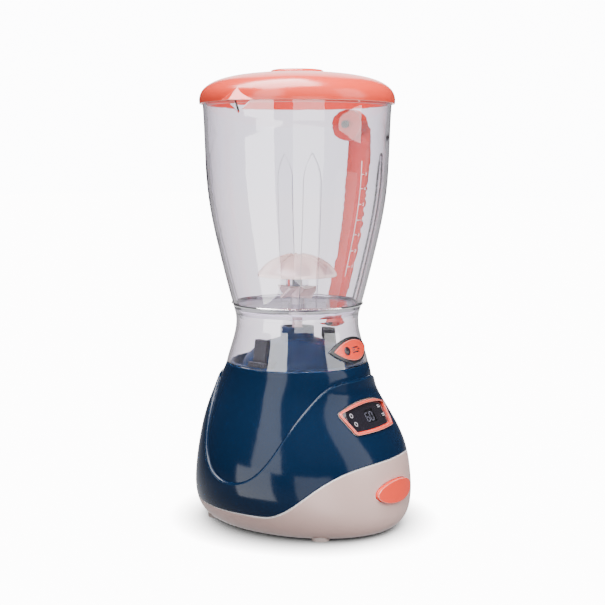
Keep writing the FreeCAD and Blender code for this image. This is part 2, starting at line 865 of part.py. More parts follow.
def make_start_button():
    cap = front_layer(button_outline(0), -button_proud, flange_inset + button_flange_thickness)
    flange = front_layer(button_outline(button_flange), flange_inset, flange_inset + button_flange_thickness)
    stem = along_y(button_stem_radius, flange_back_y - 1, stem_end_y, 0, button_centre_height)
    front = box(-far, far, -far, flange_back_y / 2, -far, far)
    return joined([cap.common(front), flange.common(front), stem])


def make_start_switch():
    half = switch_size / 2
    body = box(-half, half, switch_front_y + switch_nib_height, switch_board_front_y,
               button_centre_height - half, button_centre_height + half)
    nib = along_y(switch_nib_radius, switch_front_y, switch_front_y + switch_nib_height + 0.5, 0,
                  button_centre_height)
    return joined([body, nib])


def make_switch_board():
    return box(-switch_board_width / 2, switch_board_width / 2, switch_board_front_y, switch_board_back_y,
               button_centre_height - switch_board_height / 2, button_centre_height + switch_board_height / 2)


def make_button_spring():
    """Coil from the back of the flange to the switch board, swept along one arc per quarter turn."""
    seat = front_wall_y(button_centre_height + spring_radius, flange_inset + button_flange_thickness)
    start = seat + spring_wire_radius + moving_clearance
    length = switch_board_front_y - spring_wire_radius - part_clearance - start

    def on_coil(quarters):
        angle = math.pi / 2 * quarters
        return vec(spring_radius * math.cos(angle), start + length * quarters / (4 * spring_turns),
                   button_centre_height + spring_radius * math.sin(angle))

    arcs = [Part.Arc(on_coil(step), on_coil(step + 0.5), on_coil(step + 1)).toShape()
            for step in range(4 * spring_turns)]
    heading = arcs[0].tangentAt(arcs[0].FirstParameter)
    section = Part.Wire(Part.makeCircle(spring_wire_radius, on_coil(0), heading))
    return Part.Wire(arcs).makePipeShell([section], True, False)


# ---- Motor and gearbox ----
def motor_section(z0, z1):
    return rod(motor_radius, z0, z1, 0, gear_distance).common(
        box(-motor_flat, motor_flat, gear_distance - far, gear_distance + far, z0, z1))


def make_motor_can():
    nose = rod(motor_nose_radius, gearbox_floor - 1, gearbox_floor + plate_thickness - gear_end_gap, 0,
               gear_distance)
    body = joined([motor_section(gearbox_floor - motor_length, gearbox_floor), nose])
    return body.cut(rod(motor_shaft_radius + running_clearance, 0, far, 0, gear_distance))


def make_motor_end_cap():
    bottom = gearbox_floor - motor_length - motor_cap_length
    cap = motor_section(bottom, gearbox_floor - motor_length)
    return cap.cut(rod(motor_shaft_radius + running_clearance, 0, far, 0, gear_distance))


def gearbox_plate(z0):
    centre = gear_distance / 2
    half = gearbox_post_y + gearbox_margin
    plate = box(-gearbox_half_width, gearbox_half_width, centre - half, centre + half, z0,
                z0 + plate_thickness)
    uprights = [e for e in plate.Edges if e.BoundBox.ZLength > plate_thickness / 2]
    return plate.makeFillet(plate_corner, uprights)


def gearbox_posts():
    return [(x, y) for x in (-gearbox_post_x, gearbox_post_x)
            for y in (gear_distance / 2 - gearbox_post_y, gear_distance / 2 + gearbox_post_y)]


def make_gearbox_lower_plate():
    pieces = [gearbox_plate(gearbox_floor)]
    for x, y in gearbox_posts():
        pieces.append(rod(gearbox_post_radius, gearbox_floor + 1, gearbox_top, x, y))
    cuts = [rod(screw_hole_radius, 0, far, x, y) for x, y in gearbox_posts()]
    cuts.append(rod(drive_shaft_radius + running_clearance, 0, far))
    cuts.append(rod(motor_nose_radius + part_clearance, 0, far, 0, gear_distance))
    return joined(pieces).cut(cuts)


def make_gearbox_upper_plate():
    cuts = [rod(screw_hole_radius, 0, far, x, y) for x, y in gearbox_posts()]
    cuts.append(rod(drive_shaft_radius + running_clearance, 0, far))
    return gearbox_plate(gearbox_top).cut(cuts)


def make_gearbox_screws():
    length = 2 * plate_thickness + gear_room + screw_hole_depth - 1
    screw = pan_screw(screw_radius, screw_head_radius, screw_head_height, length)
    return group([moved(screw, x, y, gearbox_floor) for x, y in gearbox_posts()])


def involute(base, roll):
    return base * math.hypot(1, roll), roll - math.atan(roll)


def gear_blank(teeth, width, z0, bore):
    """Spur gear centred on Z with involute flanks, thinned for backlash, one tooth on +X."""
    pitch = gear_module * teeth / 2
    base = pitch * math.cos(math.radians(pressure_angle))
    tip = pitch + gear_module * addendum_share
    root = pitch - gear_module * dedendum_share
    angle = math.radians(pressure_angle)
    half_tooth = math.pi / (2 * teeth) - gear_backlash / (4 * pitch) + math.tan(angle) - angle
    last_roll = math.sqrt((tip / base) ** 2 - 1)
    flank = [involute(base, last_roll * step / 4) for step in range(5)]
    edges = []
    step_angle = 2 * math.pi / teeth

    def at(radius, turn):
        return vec(radius * math.cos(turn), radius * math.sin(turn), z0)

    for tooth in range(teeth):
        middle = tooth * step_angle
        rising = [at(r, middle - half_tooth + a) for r, a in flank]
        falling = [at(r, middle + half_tooth - a) for r, a in reversed(flank)]
        foot_up = at(root, middle - half_tooth)
        foot_down = at(root, middle + half_tooth)
        next_foot = at(root, middle + step_angle - half_tooth)
        edges.append(Part.makeLine(foot_up, rising[0]))
        edges.append(spline(rising))
        edges.append(Part.Arc(rising[-1], at(tip, middle), falling[0]).toShape())
        edges.append(spline(falling))
        edges.append(Part.makeLine(falling[-1], foot_down))
        edges.append(Part.Arc(foot_down, at(root, middle + step_angle / 2), next_foot).toShape())
    blank = Part.Face(Part.Wire(edges)).extrude(vec(0, 0, width))
    return blank.cut(rod(bore, z0 - 1, z0 + width + 1))


gear_bottom = gearbox_floor + plate_thickness + (gear_room - gear_width) / 2
pinion_bottom = gearbox_floor + plate_thickness + (gear_room - pinion_width) / 2


def make_output_gear():
    gear = gear_blank(gear_teeth, gear_width, gear_bottom, drive_shaft_radius)
    gear.rotate(vec(0, 0, 0), vec(0, 0, 1), 180 / gear_teeth)
    web_outer = gear_module * gear_teeth / 2 - 3
    recess = gear_width / 4
    web = [tube(web_outer, gear_hub_radius, gear_bottom - 1, gear_bottom + recess),
           tube(web_outer, gear_hub_radius, gear_bottom + gear_width - recess, gear_bottom + gear_width + 1)]
    hub = tube(gear_hub_radius, drive_shaft_radius, gearbox_floor + plate_thickness + gear_end_gap,
               gearbox_top - gear_end_gap)
    return gear.cut(web).fuse(hub).removeSplitter()


def make_motor_pinion():
    pinion = gear_blank(pinion_teeth, pinion_width, pinion_bottom, motor_shaft_radius)
    pinion.translate(vec(0, gear_distance, 0))
    return pinion


def make_motor_shaft():
    start = gearbox_floor - motor_length - motor_cap_length + 1
    return rod(motor_shaft_radius, start, pinion_bottom + pinion_width, 0, gear_distance)


def make_drive_shaft():
    return rod(drive_shaft_radius, gearbox_floor - 1, coupling_bottom + coupling_floor)


def dog_shape(clearance, z0, z1):
    """Round core with radial fins, grown by a clearance."""
    pieces = [rod(dog_core_radius + clearance, z0, z1)]
    half = dog_fin_width / 2 + clearance
    for step in range(dog_fin_count):
        fin = box(0, dog_fin_reach + clearance, -half, half, z0, z1)
        pieces.append(fin.rotate(vec(0, 0, 0), vec(0, 0, 1), 360 * step / dog_fin_count))
    return joined(pieces)


def make_drive_coupling():
    cup = rod(tower_radius - tower_wall - coupling_side_gap, coupling_bottom, coupling_top)
    return cup.cut([dog_shape(moving_clearance, coupling_bottom + coupling_floor, far),
                    rod(drive_shaft_radius, 0, far)])


# ---- Boards, loudspeaker and wires ----
def make_main_board():
    return box(-main_board_length / 2, main_board_length / 2, bay_centre_y - main_board_width / 2,
               bay_centre_y + main_board_width / 2, main_board_bottom, main_board_top)


def make_board_parts():
    front = bay_centre_y - main_board_width / 2
    chip = box(-chip_size - 3, -3, front + 4, front + 4 + chip_size, main_board_top, main_board_top + chip_height)
    capacitor = rod(capacitor_radius, main_board_top, main_board_top + capacitor_height,
                    main_board_length / 2 - 6, front + 6)
    plug = box(-main_board_length / 2 + 2, -main_board_length / 2 + 6, bay_centre_y + 4, bay_centre_y + 13,
               main_board_top, main_board_top + 5)
    driver = box(main_board_length / 2 - 8, main_board_length / 2 - 5, bay_centre_y + 2, bay_centre_y + 9,
                 main_board_top, main_board_top + capacitor_height)
    return group([chip, capacitor, plug, driver])


def make_speaker():
    bottom = foot_height + lower_wall
    frame = rod(speaker_radius, bottom, bottom + speaker_frame_height, 0, speaker_y)
    magnet = rod(speaker_magnet_radius, bottom + speaker_frame_height - 0.5,
                 bottom + speaker_frame_height + speaker_magnet_height, 0, speaker_y)
    return joined([frame, magnet])


def wire_run(points):
    """A round lead along straight runs joined by tangent arcs."""
    corners = [vec(*p) for p in points]
    edges = []
    start = corners[0]
    for before, corner, after in zip(corners, corners[1:], corners[2:]):
        back = (before - corner).normalize()
        ahead = (after - corner).normalize()
        half_turn = back.getAngle(ahead) / 2
        reach = min(wire_bend, 0.45 * min((before - corner).Length, (after - corner).Length))
        inner = (back + ahead).normalize()
        radius = reach * math.tan(half_turn)
        middle = corner + inner * (reach / math.cos(half_turn) - radius)
        edges.append(Part.makeLine(start, corner + back * reach))
        edges.append(Part.Arc(corner + back * reach, middle, corner + ahead * reach).toShape())
        start = corner + ahead * reach
    edges.append(Part.makeLine(start, corners[-1]))
    direction = corners[1] - corners[0]
    section = Part.Wire(Part.makeCircle(wire_radius, corners[0], direction))
    return Part.Wire(edges).makePipeShell([section], True, False)


def make_lead_wires():
    above = main_board_top + wire_radius
    front = bay_centre_y - main_board_width / 2
    cap_bottom_z = gearbox_floor - motor_length - motor_cap_length
    speaker_top = foot_height + lower_wall + speaker_frame_height
    board_back = display_placed(Part.Vertex(0, 0, -display_board_depth - board_thickness)).Point
    gearbox_front = gear_distance / 2 - gearbox_post_y - gearbox_margin
    wires = []
    for side in (-1, 1):
        wires.append(wire_run([(side * 5, gear_distance, cap_bottom_z), (side * 5, gear_distance, main_board_top)]))
        wires.append(wire_run([(side * contact_x, bay_centre_y, cell_axis_height + contact_half_size),
                               (side * contact_x, bay_centre_y, above + 4),
                               (side * (main_board_length / 2 - 3), bay_centre_y, above + 4),
                               (side * (main_board_length / 2 - 3), bay_centre_y, main_board_top)]))
        wires.append(wire_run([(side * 4, speaker_y + speaker_magnet_radius + 3, speaker_top),
                               (side * 4, speaker_y + speaker_magnet_radius + 3, above + 3),
                               (side * 4, front + 2, above + 3), (side * 4, front + 2, main_board_top)]))
        wires.append(wire_run([(side * 8, switch_board_back_y, button_centre_height),
                               (side * 8, front + 1, button_centre_height),
                               (side * 8, front + 1, main_board_top)]))
        wires.append(wire_run([(side * 14, board_back.y + wire_radius, board_back.z),
                               (side * 14, gearbox_front - 6, board_back.z),
                               (side * 14, gearbox_front - 6, above + 6), (side * 14, front + 3, above + 6),
                               (side * 14, front + 3, main_board_top)]))
    return group(wires)


# ---- Collar: a clear flared skirt with a spigot that the jug sits on ----
def collar_solid(inset):
    foot = base_top_radius - inset
    neck = neck_radius - inset
    points = [(0, collar_bottom), (foot, collar_bottom),
              (neck + (foot - neck) * 0.40, collar_bottom + neck_height * 0.47),
              (neck, collar_bottom + neck_height), (collar_top_radius - inset, neck_seam), (0, neck_seam)]
    return turned(points, 1, 1)


def make_jug_collar():
    spigot_outer = collar_top_radius - jug_wall - part_clearance
    spigot_inner = spigot_outer - spigot_wall
    shelf = rod(collar_top_radius - jug_wall / 2, neck_seam - spigot_shelf, neck_seam)
    spigot = rod(spigot_outer, neck_seam - spigot_shelf, neck_seam + spigot_rise)
    body = joined([collar_solid(0).cut(collar_solid(collar_wall)), shelf, spigot])
    holes = [rod(spigot_inner, 0, neck_seam + far), handle_hole(foot_pad_level)]
    return body.cut(holes)


def make_floor_seal():
    outer = collar_top_radius - jug_wall - part_clearance
    return tube(outer, outer - spigot_wall, neck_seam + spigot_rise, floor_bottom)


# ---- Jug: a clear beaker with four arched flutes, a floor and a shaft post ----
def jug_curve(inset):
    points = [(collar_top_radius - inset, neck_seam)]
    for height_share, growth in jug_swell:
        radius = collar_top_radius + (jug_top_radius - collar_top_radius) * growth
        points.append((radius - inset, neck_seam + jug_height * height_share))
    points.append((jug_top_radius - inset, jug_top))
    return points


def jug_solid(inset):
    return turned([(0, neck_seam)] + jug_curve(inset) + [(0, jug_top)], 1, 1)


def flute_prism(width):
    """Round-arched outline, extruded from the axis along +X."""
    half = width / 2
    left = vec(0, -half, flute_spring - far)
    left_top = vec(0, -half, flute_spring)
    right_top = vec(0, half, flute_spring)
    right = vec(0, half, flute_spring - far)
    peak = vec(0, 0, neck_seam + flute_top)
    rise = neck_seam + flute_top - flute_spring
    edges = [Part.makeLine(left, left_top)]
    for side, start, end in ((-1, left_top, peak), (1, peak, right_top)):
        mid = vec(0, side * half * 0.62, flute_spring + rise * 0.60)
        edges.append(Part.Arc(start, mid, end).toShape())
    edges.append(Part.makeLine(right_top, right))
    edges.append(Part.makeLine(right, left))
    return Part.Face(Part.Wire(edges)).extrude(vec(far, 0, 0))


def beak(root, reach, half_width, top, drop):
    """A four-cornered wedge on the -X side, widest at the top."""
    back_left = vec(-root, half_width, top)
    back_right = vec(-root, -half_width, top)
    tip = vec(-reach, 0, top)
    foot = vec(-root, 0, top - drop)
    faces = []
    for corners in ((back_left, back_right, tip), (back_left, tip, foot), (back_right, foot, tip),
                    (back_left, foot, back_right)):
        faces.append(Part.Face(Part.makePolygon(list(corners) + [corners[0]])))
    return Part.Solid(Part.Shell(faces))


def make_jug():
    outside = jug_solid(0)
    inside = upper(jug_solid(jug_wall), floor_top)
    outer_band = outside.cut(jug_solid(flute_depth))
    inner_band = jug_solid(jug_wall).cut(jug_solid(jug_wall + flute_depth))
    grooves = []
    ribs = []
    for step in range(flute_count):
        angle = 45 + 360 * step / flute_count
        outer_prism = flute_prism(flute_width).rotate(vec(0, 0, 0), vec(0, 0, 1), angle)
        inner_prism = flute_prism(flute_width - jug_wall / 2).rotate(vec(0, 0, 0), vec(0, 0, 1), angle)
        grooves.append(upper(outer_band.common(outer_prism), floor_top))
        ribs.append(upper(inner_band.common(inner_prism), floor_bottom))
    root = jug_top_radius - spout_root
    spout = beak(root, jug_top_radius + spout_reach, spout_half_width, jug_top, spout_drop)
    pocket = beak(root - spout_wall, jug_top_radius + spout_reach - spout_wall,
                  spout_half_width - spout_wall / 2, jug_top, spout_drop - spout_wall)
    skirt = outside.cut([inside, lower(jug_solid(jug_wall), floor_bottom), pocket])
    body = skirt.fuse([spout.cut([pocket, jug_solid(jug_wall)]), rod(floor_boss_radius, floor_boss_bottom, floor_top),
                       rod(post_radius, floor_top - 1, post_top)])
    body = body.fuse(ribs).cut(grooves)
    return body.cut([rod(bush_radius, 0, far), handle_hole(hub_level)])


def make_shaft_bush():
    return tube(bush_radius, drive_shaft_radius + running_clearance, floor_boss_bottom, post_top)


# ---- Blades ----
def make_blade_shaft():
    return rod(drive_shaft_radius, dog_bottom + 1, cap_bottom + shaft_grip)


def make_jug_coupling():
    fins = dog_shape(0, dog_bottom, dog_bottom + dog_length)
    stub = rod(dog_core_radius, dog_bottom + dog_length - 1, dog_top)
    return joined([fins, stub]).cut(rod(drive_shaft_radius, dog_bottom + 1, far))


def make_blades():
    hub = rod(blade_hub_radius, blade_bottom, blade_bottom + blade_room - part_clearance)
    middle = blade_bottom + blade_room / 2
    room = rod(blade_reach, blade_bottom, blade_bottom + blade_room - part_clearance)
    pieces = [hub]
    for step in range(blade_count):
        blade = box(blade_hub_radius - 1.5, far, -blade_chord / 2, blade_chord / 2, -blade_thickness / 2,
                    blade_thickness / 2)
        blade.rotate(vec(0, 0, 0), vec(1, 0, 0), blade_pitch)
        blade.translate(vec(0, 0, middle))
        blade.rotate(vec(0, 0, 0), vec(0, 0, 1), 360 * step / blade_count)
        pieces.append(blade.common(room))
    return joined(pieces).cut(rod(drive_shaft_radius, 0, far))


def make_blade_hub():
    return tube(clear_hub_radius, drive_shaft_radius, clear_hub_bottom, cap_bottom)


def cap_solid(inset, grow):
    reach = cap_radius - inset
    top = cap_bottom + cap_height - inset + grow
    rim = cap_bottom + cap_rim_height - inset * 0.3
    rise = top - rim
    points = [(0, cap_bottom - 0.01 * inset), (reach, cap_bottom - 0.01 * inset), (reach, rim),
              (reach * 0.86, rim + rise * 0.40), (reach * 0.56, rim + rise * 0.78),
              (reach * 0.24, rim + rise * 0.97), (0, top)]
    return turned(points, 2, 0)


def make_impeller_cap():
    shell = cap_solid(0, 0).cut(cap_solid(cap_wall, 0))
    boss = rod(cap_boss_radius, cap_bottom, cap_bottom + cap_height - cap_wall)
    pieces = [shell, boss]
    raised = cap_solid(0, cap_rib_rise).cut(cap_solid(cap_wall / 2, 0))
    for step in range(cap_rib_count):
        rib = box(cap_boss_radius, cap_radius * 0.97, -cap_rib_width / 2, cap_rib_width / 2, cap_bottom + 1, far)
        rib.rotate(vec(0, 0, 0), vec(0, 0, 1), 360 * step / cap_rib_count)
        pieces.append(raised.common(rib))
    return joined(pieces).cut(rod(drive_shaft_radius, 0, cap_bottom + shaft_grip))


# ---- Handle: a smooth grip from a round hub under the rim to a flat pad on the collar ----
def wall_radius(height):
    """Outer radius of the collar or jug wall at a height."""
    outline = collar_solid(0) if height < neck_seam else jug_solid(0)
    return outline.common(Part.makeLine(vec(0, 0, height), vec(far, 0, height))).BoundBox.XMax


def oval_wire(x, z, lean, width, thickness):
    """Ellipse across the path; lean is the path's angle below the horizontal +X."""
    across = Part.Ellipse(vec(0, 0, 0), max(width, thickness) / 2 + 0.001, min(width, thickness) / 2)
    wire = Part.Wire(across.toShape())
    quarter = 90 if width >= thickness else 0
    wire.rotate(vec(0, 0, 0), vec(0, 0, 1), quarter)
    wire.rotate(vec(0, 0, 0), vec(0, 1, 0), 90 + lean)
    wire.translate(vec(x, 0, z))
    return wire


hub_level = jug_top - hub_below_rim
foot_pad_level = collar_bottom + foot_pad_z


def handle_hole(height):
    return Part.makeCylinder(screw_hole_radius + part_clearance, far, vec(0, 0, height), vec(1, 0, 0))


def make_handle():
    hub_x = wall_radius(hub_level)
    pad_x = wall_radius(foot_pad_level)
    places = [(wall_radius(neck_seam + height) + reach, neck_seam + height, width, thickness)
              for height, reach, width, thickness in handle_stations]
    top_x, top_z, top_width, top_thickness = places[0]
    foot_width, foot_thickness = places[-1][2:]
    shoulder_x = top_x - (top_x - hub_x - hub_length) * shoulder_share
    hub = 2 * hub_radius
    wires = [oval_wire(hub_x - 1, hub_level, 0, hub_width, hub),
             oval_wire(hub_x + hub_length, hub_level, hub_lean, hub_width * hub_taper, hub * hub_taper),
             oval_wire(shoulder_x, hub_level - shoulder_drop, shoulder_lean, (hub + top_width) / 2,
                       top_thickness + shoulder_swell)]
    ends = [(shoulder_x, hub_level)] + [(x, z) for x, z, width, thickness in places]
    ends.append((pad_x + foot_pad_depth / 2, foot_pad_level))
    for before, (x, z, width, thickness), after in zip(ends, places, ends[2:]):
        lean = math.degrees(math.atan2(before[1] - after[1], after[0] - before[0]))
        wires.append(oval_wire(x, z, lean, width, thickness))
    wires.append(oval_wire(pad_x + foot_pad_depth / 2, foot_pad_level, 90, foot_width, foot_thickness))
    pad = Part.Ellipse(vec(0, 0, 0), foot_pad_width / 2, foot_pad_height / 2)
    pad = Part.Face(Part.Wire(pad.toShape())).extrude(vec(0, 0, foot_pad_depth + 1))
    pad = pad.rotate(vec(0, 0, 0), vec(0, 0, 1), 90)
    rounded = pad.makeFillet(foot_pad_round, [max(pad.Edges, key=lambda e: e.BoundBox.ZMin)])
    rounded = along_x(rounded, 1, pad_x - 1, 0, foot_pad_level)
    grip = Part.makeLoft(wires, True).fuse(rounded)
    walls = [jug_solid(-handle_seat_gap), collar_solid(-handle_seat_gap)]
    pilots = [Part.makeCylinder(screw_hole_radius, wall_radius(level) + pilot, vec(0, 0, level), vec(1, 0, 0))
              for level, pilot in ((hub_level, hub_screw_length), (foot_pad_level, foot_screw_length))]
    return grip.cut(walls + pilots)


def make_handle_screws():
    screws = []
    for level, wall, length in ((hub_level, jug_wall, hub_screw_length),
                                (foot_pad_level, collar_wall, foot_screw_length)):
        screw = pan_screw(screw_radius, screw_head_radius, screw_head_height, length)
        narrowest = min(wall_radius(level - screw_head_radius), wall_radius(level + screw_head_radius))
        seat = narrowest - wall - 2 * part_clearance
        screws.append(along_x(screw, 1, seat, 0, level))
    return group(screws)


# ---- Badge: a plain leaf-shaped plate in a dark bezel on the front of the collar ----
def badge_outline(grow):
    level = collar_bottom + badge_height
    left = vec(-badge_half_width - grow * 1.8, 0, level)
    right = vec(badge_half_width + grow * 1.8, 0, level)
    edges = [Part.Arc(left, vec(0, 0, level + badge_half_height + grow), right).toShape(),
             Part.Arc(right, vec(0, 0, level - badge_half_height - grow), left).toShape()]
    return Part.Face(Part.Wire(edges)).extrude(vec(0, -far, 0))


def make_badge_bezel():
    ring = badge_outline(badge_bezel_width).cut(badge_outline(0))
    return ring.common(collar_solid(-badge_bezel_proud)).cut(collar_solid(-handle_seat_gap))


def make_badge_plate():
    leaf = badge_outline(-handle_seat_gap)
    return leaf.common(collar_solid(-badge_plate_proud)).cut(collar_solid(-handle_seat_gap))


# ---- Lid: a domed cap with a skirt inside the jug and a beak over its spout ----
def lid_curve(inset):
    drop = lid_top - lid_bottom
    reach = lid_radius - inset
    base = lid_bottom - inset
    return [(reach, base + 0.7), (reach + 0.05, base + drop * 0.18), (reach - 1.6, base + drop * 0.40),
            (reach - 5.9, base + drop * 0.60), (reach * 0.755, base + drop * 0.795),
            (reach * 0.51, base + drop * 0.93), (reach * 0.27, base + drop * 0.985), (0, base + drop)]


def lid_solid(inset):
    """Everything under the lid's domed surface, moved in by inset, down to the rim."""
    curve = lid_curve(inset)
    return turned([(0, lid_bottom), (curve[0][0], lid_bottom)] + curve, 2, 0)


def make_lid():
    jug_inner = jug_top_radius - jug_wall
    skirt_outer = jug_inner - skirt_gap
    skirt_inner = skirt_outer - skirt_wall
    rest = jug_top + lid_rest_gap
    flange_inner = jug_top_radius + lid_side_gap
    rise = lid_solid(lid_wall)
    skirt = tube(skirt_outer, skirt_inner, lid_bottom - skirt_drop + lid_overlap, rest + lid_wall)
    root = jug_top_radius - spout_root
    wedge = beak_up(root, lid_radius + lid_spout_reach, lid_spout_half_width, lid_bottom, lid_spout_rise)
    body = joined([lid_solid(0), wedge, skirt])
    cuts = [rise.common(rod(skirt_inner, 0, far)), tube(flange_inner, skirt_outer, lid_bottom - 1, rest),
            upper(rise.common(tube(jug_top_radius - lid_ledge, skirt_outer, 0, far)), rest - 1)]
    spout_side = math.hypot(spout_root + spout_reach, spout_half_width)
    spout_room = beak(root, jug_top_radius + spout_reach + lid_spout_gap * spout_side / spout_half_width,
                      spout_half_width + lid_spout_gap * spout_side / (spout_root + spout_reach), rest, spout_drop)
    cuts.append(spout_room.cut(rod(skirt_outer, 0, far)))
    seat = rod(lid_cap_radius + part_clearance, lid_top - lid_cap_seat, far)
    cuts.append(seat)
    return body.cut(cuts)


def beak_up(root, reach, half_width, bottom, rise):
    """The same wedge the other way up, widest at the bottom."""
    down = beak(root, reach, half_width, -bottom, rise)
    return down.mirror(vec(0, 0, 0), vec(0, 0, 1))


def make_lid_cap():
    bottom = lid_top - lid_cap_seat
    top = lid_top + lid_cap_rise
    points = [(0, bottom), (lid_cap_radius, bottom), (lid_cap_radius, bottom + 0.8),
              (lid_cap_radius * 0.965, top - 0.45), (lid_cap_radius * 0.80, top - 0.12),
              (lid_cap_radius * 0.40, top), (0, top)]
    return turned(points, 2, 0)


# ---- The pieces ----
parts = {
    "lower_housing": make_lower_housing(),
    "upper_housing": make_upper_housing(),
    "drive_dome": make_drive_dome(),
    "jug_catches": make_jug_catches(),
    "lock_pads": make_lock_pads(),
    "feet": make_feet(),
    "housing_screws": make_housing_screws(),
    "battery_door": make_battery_door(),
    "battery_door_screw": make_battery_door_screw(),
    "battery_cells": make_battery_cells(),
    "battery_contacts": make_battery_contacts(),
    "display_lip": make_display_lip(),
    "display_bezel": make_display_bezel(),
    "display_window": make_display_window(),
    "display_screen": make_screen(),
    "display_board": make_display_board(),
    "indicator_lights": make_indicator_lights(),
    "start_button": make_start_button(),
    "start_switch": make_start_switch(),
    "switch_board": make_switch_board(),
    "button_spring": make_button_spring(),
    "motor_can": make_motor_can(),
    "motor_end_cap": make_motor_end_cap(),
    "gearbox_lower_plate": make_gearbox_lower_plate(),
    "gearbox_upper_plate": make_gearbox_upper_plate(),
    "gearbox_screws": make_gearbox_screws(),
    "motor_shaft": make_motor_shaft(),
    "motor_pinion": make_motor_pinion(),
    "output_gear": make_output_gear(),
    "drive_shaft": make_drive_shaft(),
    "drive_coupling": make_drive_coupling(),
    "main_board": make_main_board(),
    "board_parts": make_board_parts(),
    "speaker": make_speaker(),
    "lead_wires": make_lead_wires(),
    "jug_collar": make_jug_collar(),
    "floor_seal": make_floor_seal(),
    "jug_body": make_jug(),
    "shaft_bush": make_shaft_bush(),
    "handle": make_handle(),
    "handle_screws": make_handle_screws(),
    "badge_bezel": make_badge_bezel(),
    "badge_plate": make_badge_plate(),
    "blade_shaft": make_blade_shaft(),
    "jug_coupling": make_jug_coupling(),
    "lower_blades": make_blades(),
    "blade_hub": make_blade_hub(),
    "impeller_cap": make_impeller_cap(),
    "lid": make_lid(),
    "lid_cap": make_lid_cap(),
}

os.makedirs("parts", exist_ok=True)
for name, shape in parts.items():
    shape.exportStep("parts/" + name + ".step")
    print(name, shape.isValid(), len(shape.Solids), round(shape.Volume, 1))
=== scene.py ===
import math
import bpy
import numpy as np
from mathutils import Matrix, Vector


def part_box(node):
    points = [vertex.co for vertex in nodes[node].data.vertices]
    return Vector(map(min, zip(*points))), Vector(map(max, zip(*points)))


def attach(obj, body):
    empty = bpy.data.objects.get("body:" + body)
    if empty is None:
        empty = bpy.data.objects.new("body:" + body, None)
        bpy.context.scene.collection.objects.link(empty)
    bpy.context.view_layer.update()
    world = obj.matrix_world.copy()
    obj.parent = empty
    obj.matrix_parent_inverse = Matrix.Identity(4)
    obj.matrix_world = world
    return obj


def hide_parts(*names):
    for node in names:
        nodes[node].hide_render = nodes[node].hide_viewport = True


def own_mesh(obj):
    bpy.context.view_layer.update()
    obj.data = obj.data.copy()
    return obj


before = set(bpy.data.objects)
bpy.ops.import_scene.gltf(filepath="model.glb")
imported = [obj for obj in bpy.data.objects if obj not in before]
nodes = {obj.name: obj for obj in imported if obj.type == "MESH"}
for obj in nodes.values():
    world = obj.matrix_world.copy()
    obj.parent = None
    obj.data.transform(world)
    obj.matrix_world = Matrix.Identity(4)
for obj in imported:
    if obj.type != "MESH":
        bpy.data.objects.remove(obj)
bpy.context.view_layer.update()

# ---- Lower housing, battery door --------------------------------------------------------------------
# The bottom half of the base and the door in its floor. Both are injection-moulded in beige ABS from
# tools with a spark-eroded satin grain, and the door is held by one screw.


def linear(hex_code):
    """Linear colour of an sRGB hex code: each channel c becomes ((c + 0.055) / 1.055) ** 2.4."""
    channels = np.array([int(hex_code[i:i + 2], 16) for i in (1, 3, 5)]) / 255
    curve = np.where(channels > 0.04045, ((channels + 0.055) / 1.055) ** 2.4, channels / 12.92)
    return (*curve.tolist(), 1.0)


def add(material, kind, sockets=None, **settings):
    """Adds one shader node. Settings are its properties, and sockets gives each input a value or a
    (node, output) to link it to."""
    made = material.node_tree.nodes.new("ShaderNode" + kind)
    for name, value in settings.items():
        setattr(made, name, value)
    for name, value in (sockets or {}).items():
        if isinstance(value, tuple) and isinstance(value[0], bpy.types.Node):
            material.node_tree.links.new(made.inputs[name], value[0].outputs[value[1]])
        else:
            made.inputs[name].default_value = value
    return made


def start_material(name):
    """An empty node material, and the object coordinates that its patterns read."""
    material = bpy.data.materials.new(name)
    material.use_nodes = True
    material.node_tree.nodes.clear()
    return material, add(material, "TexCoord")


def finish_material(material, shader):
    """Joins the shader to the material's output."""
    add(material, "OutputMaterial", {"Surface": (shader, 0)})
    return material


def moulded(name, colour, shade, highlight_colour, roughness, grain_mm, grain_depth, specular=0.5, edge_mm=0.5):
    """Moulded plastic. Its colour drifts between two shades over centimetres, the tool's grain drives the
    gloss and a fine bump, and its edges are rounded by edge_mm and turn to the paler edge colour, a painted
    highlight."""
    material, place = start_material(name)
    drift = add(material, "TexNoise", {"Vector": (place, "Object"), "Scale": 28.0, "Detail": 2.0})
    tint = add(material, "Mix", {0: (drift, "Fac"), 6: linear(colour), 7: linear(shade)}, data_type="RGBA")
    grain = add(material, "TexNoise", {
        "Vector": (place, "Object"), "Scale": 1000 / grain_mm, "Detail": 3.0})
    polish = add(material, "MapRange", {"Value": (grain, "Fac"), "To Min": roughness * 0.85,
                                        "To Max": roughness * 1.15})
    edge = add(material, "Bevel", {"Radius": edge_mm / 1000}, samples=8)
    face = add(material, "NewGeometry")
    turn = add(material, "VectorMath", {0: (edge, 0), 1: (face, "Normal")}, operation="DOT_PRODUCT")
    # Painted highlight: where the bevelled normal turns away from the face, the colour moves to the pale edge
    # colour.
    edge_highlight_mask = add(material, "MapRange", {"Value": (turn, "Value"), "From Min": 0.99, "From Max": 0.86,
                                        "To Min": 0.0, "To Max": 0.9})
    edge_highlighted = add(material, "Mix", {0: (edge_highlight_mask, 0), 6: (tint, 2), 7: linear(highlight_colour)}, data_type="RGBA")
    bump = add(material, "Bump", {"Height": (grain, "Fac"), "Strength": grain_depth, "Distance": 0.0001,
                                  "Normal": (edge, 0)})
    shader = add(material, "BsdfPrincipled", {
        "Base Color": (edge_highlighted, 2), "Roughness": (polish, 0), "Normal": (bump, 0), "IOR": 1.53,
        "Specular IOR Level": specular})
    return finish_material(material, shader)


def dress(material, *names):
    """Gives the material to CAD nodes."""
    for name in names:
        nodes[name].data.materials.clear()
        nodes[name].data.materials.append(material)
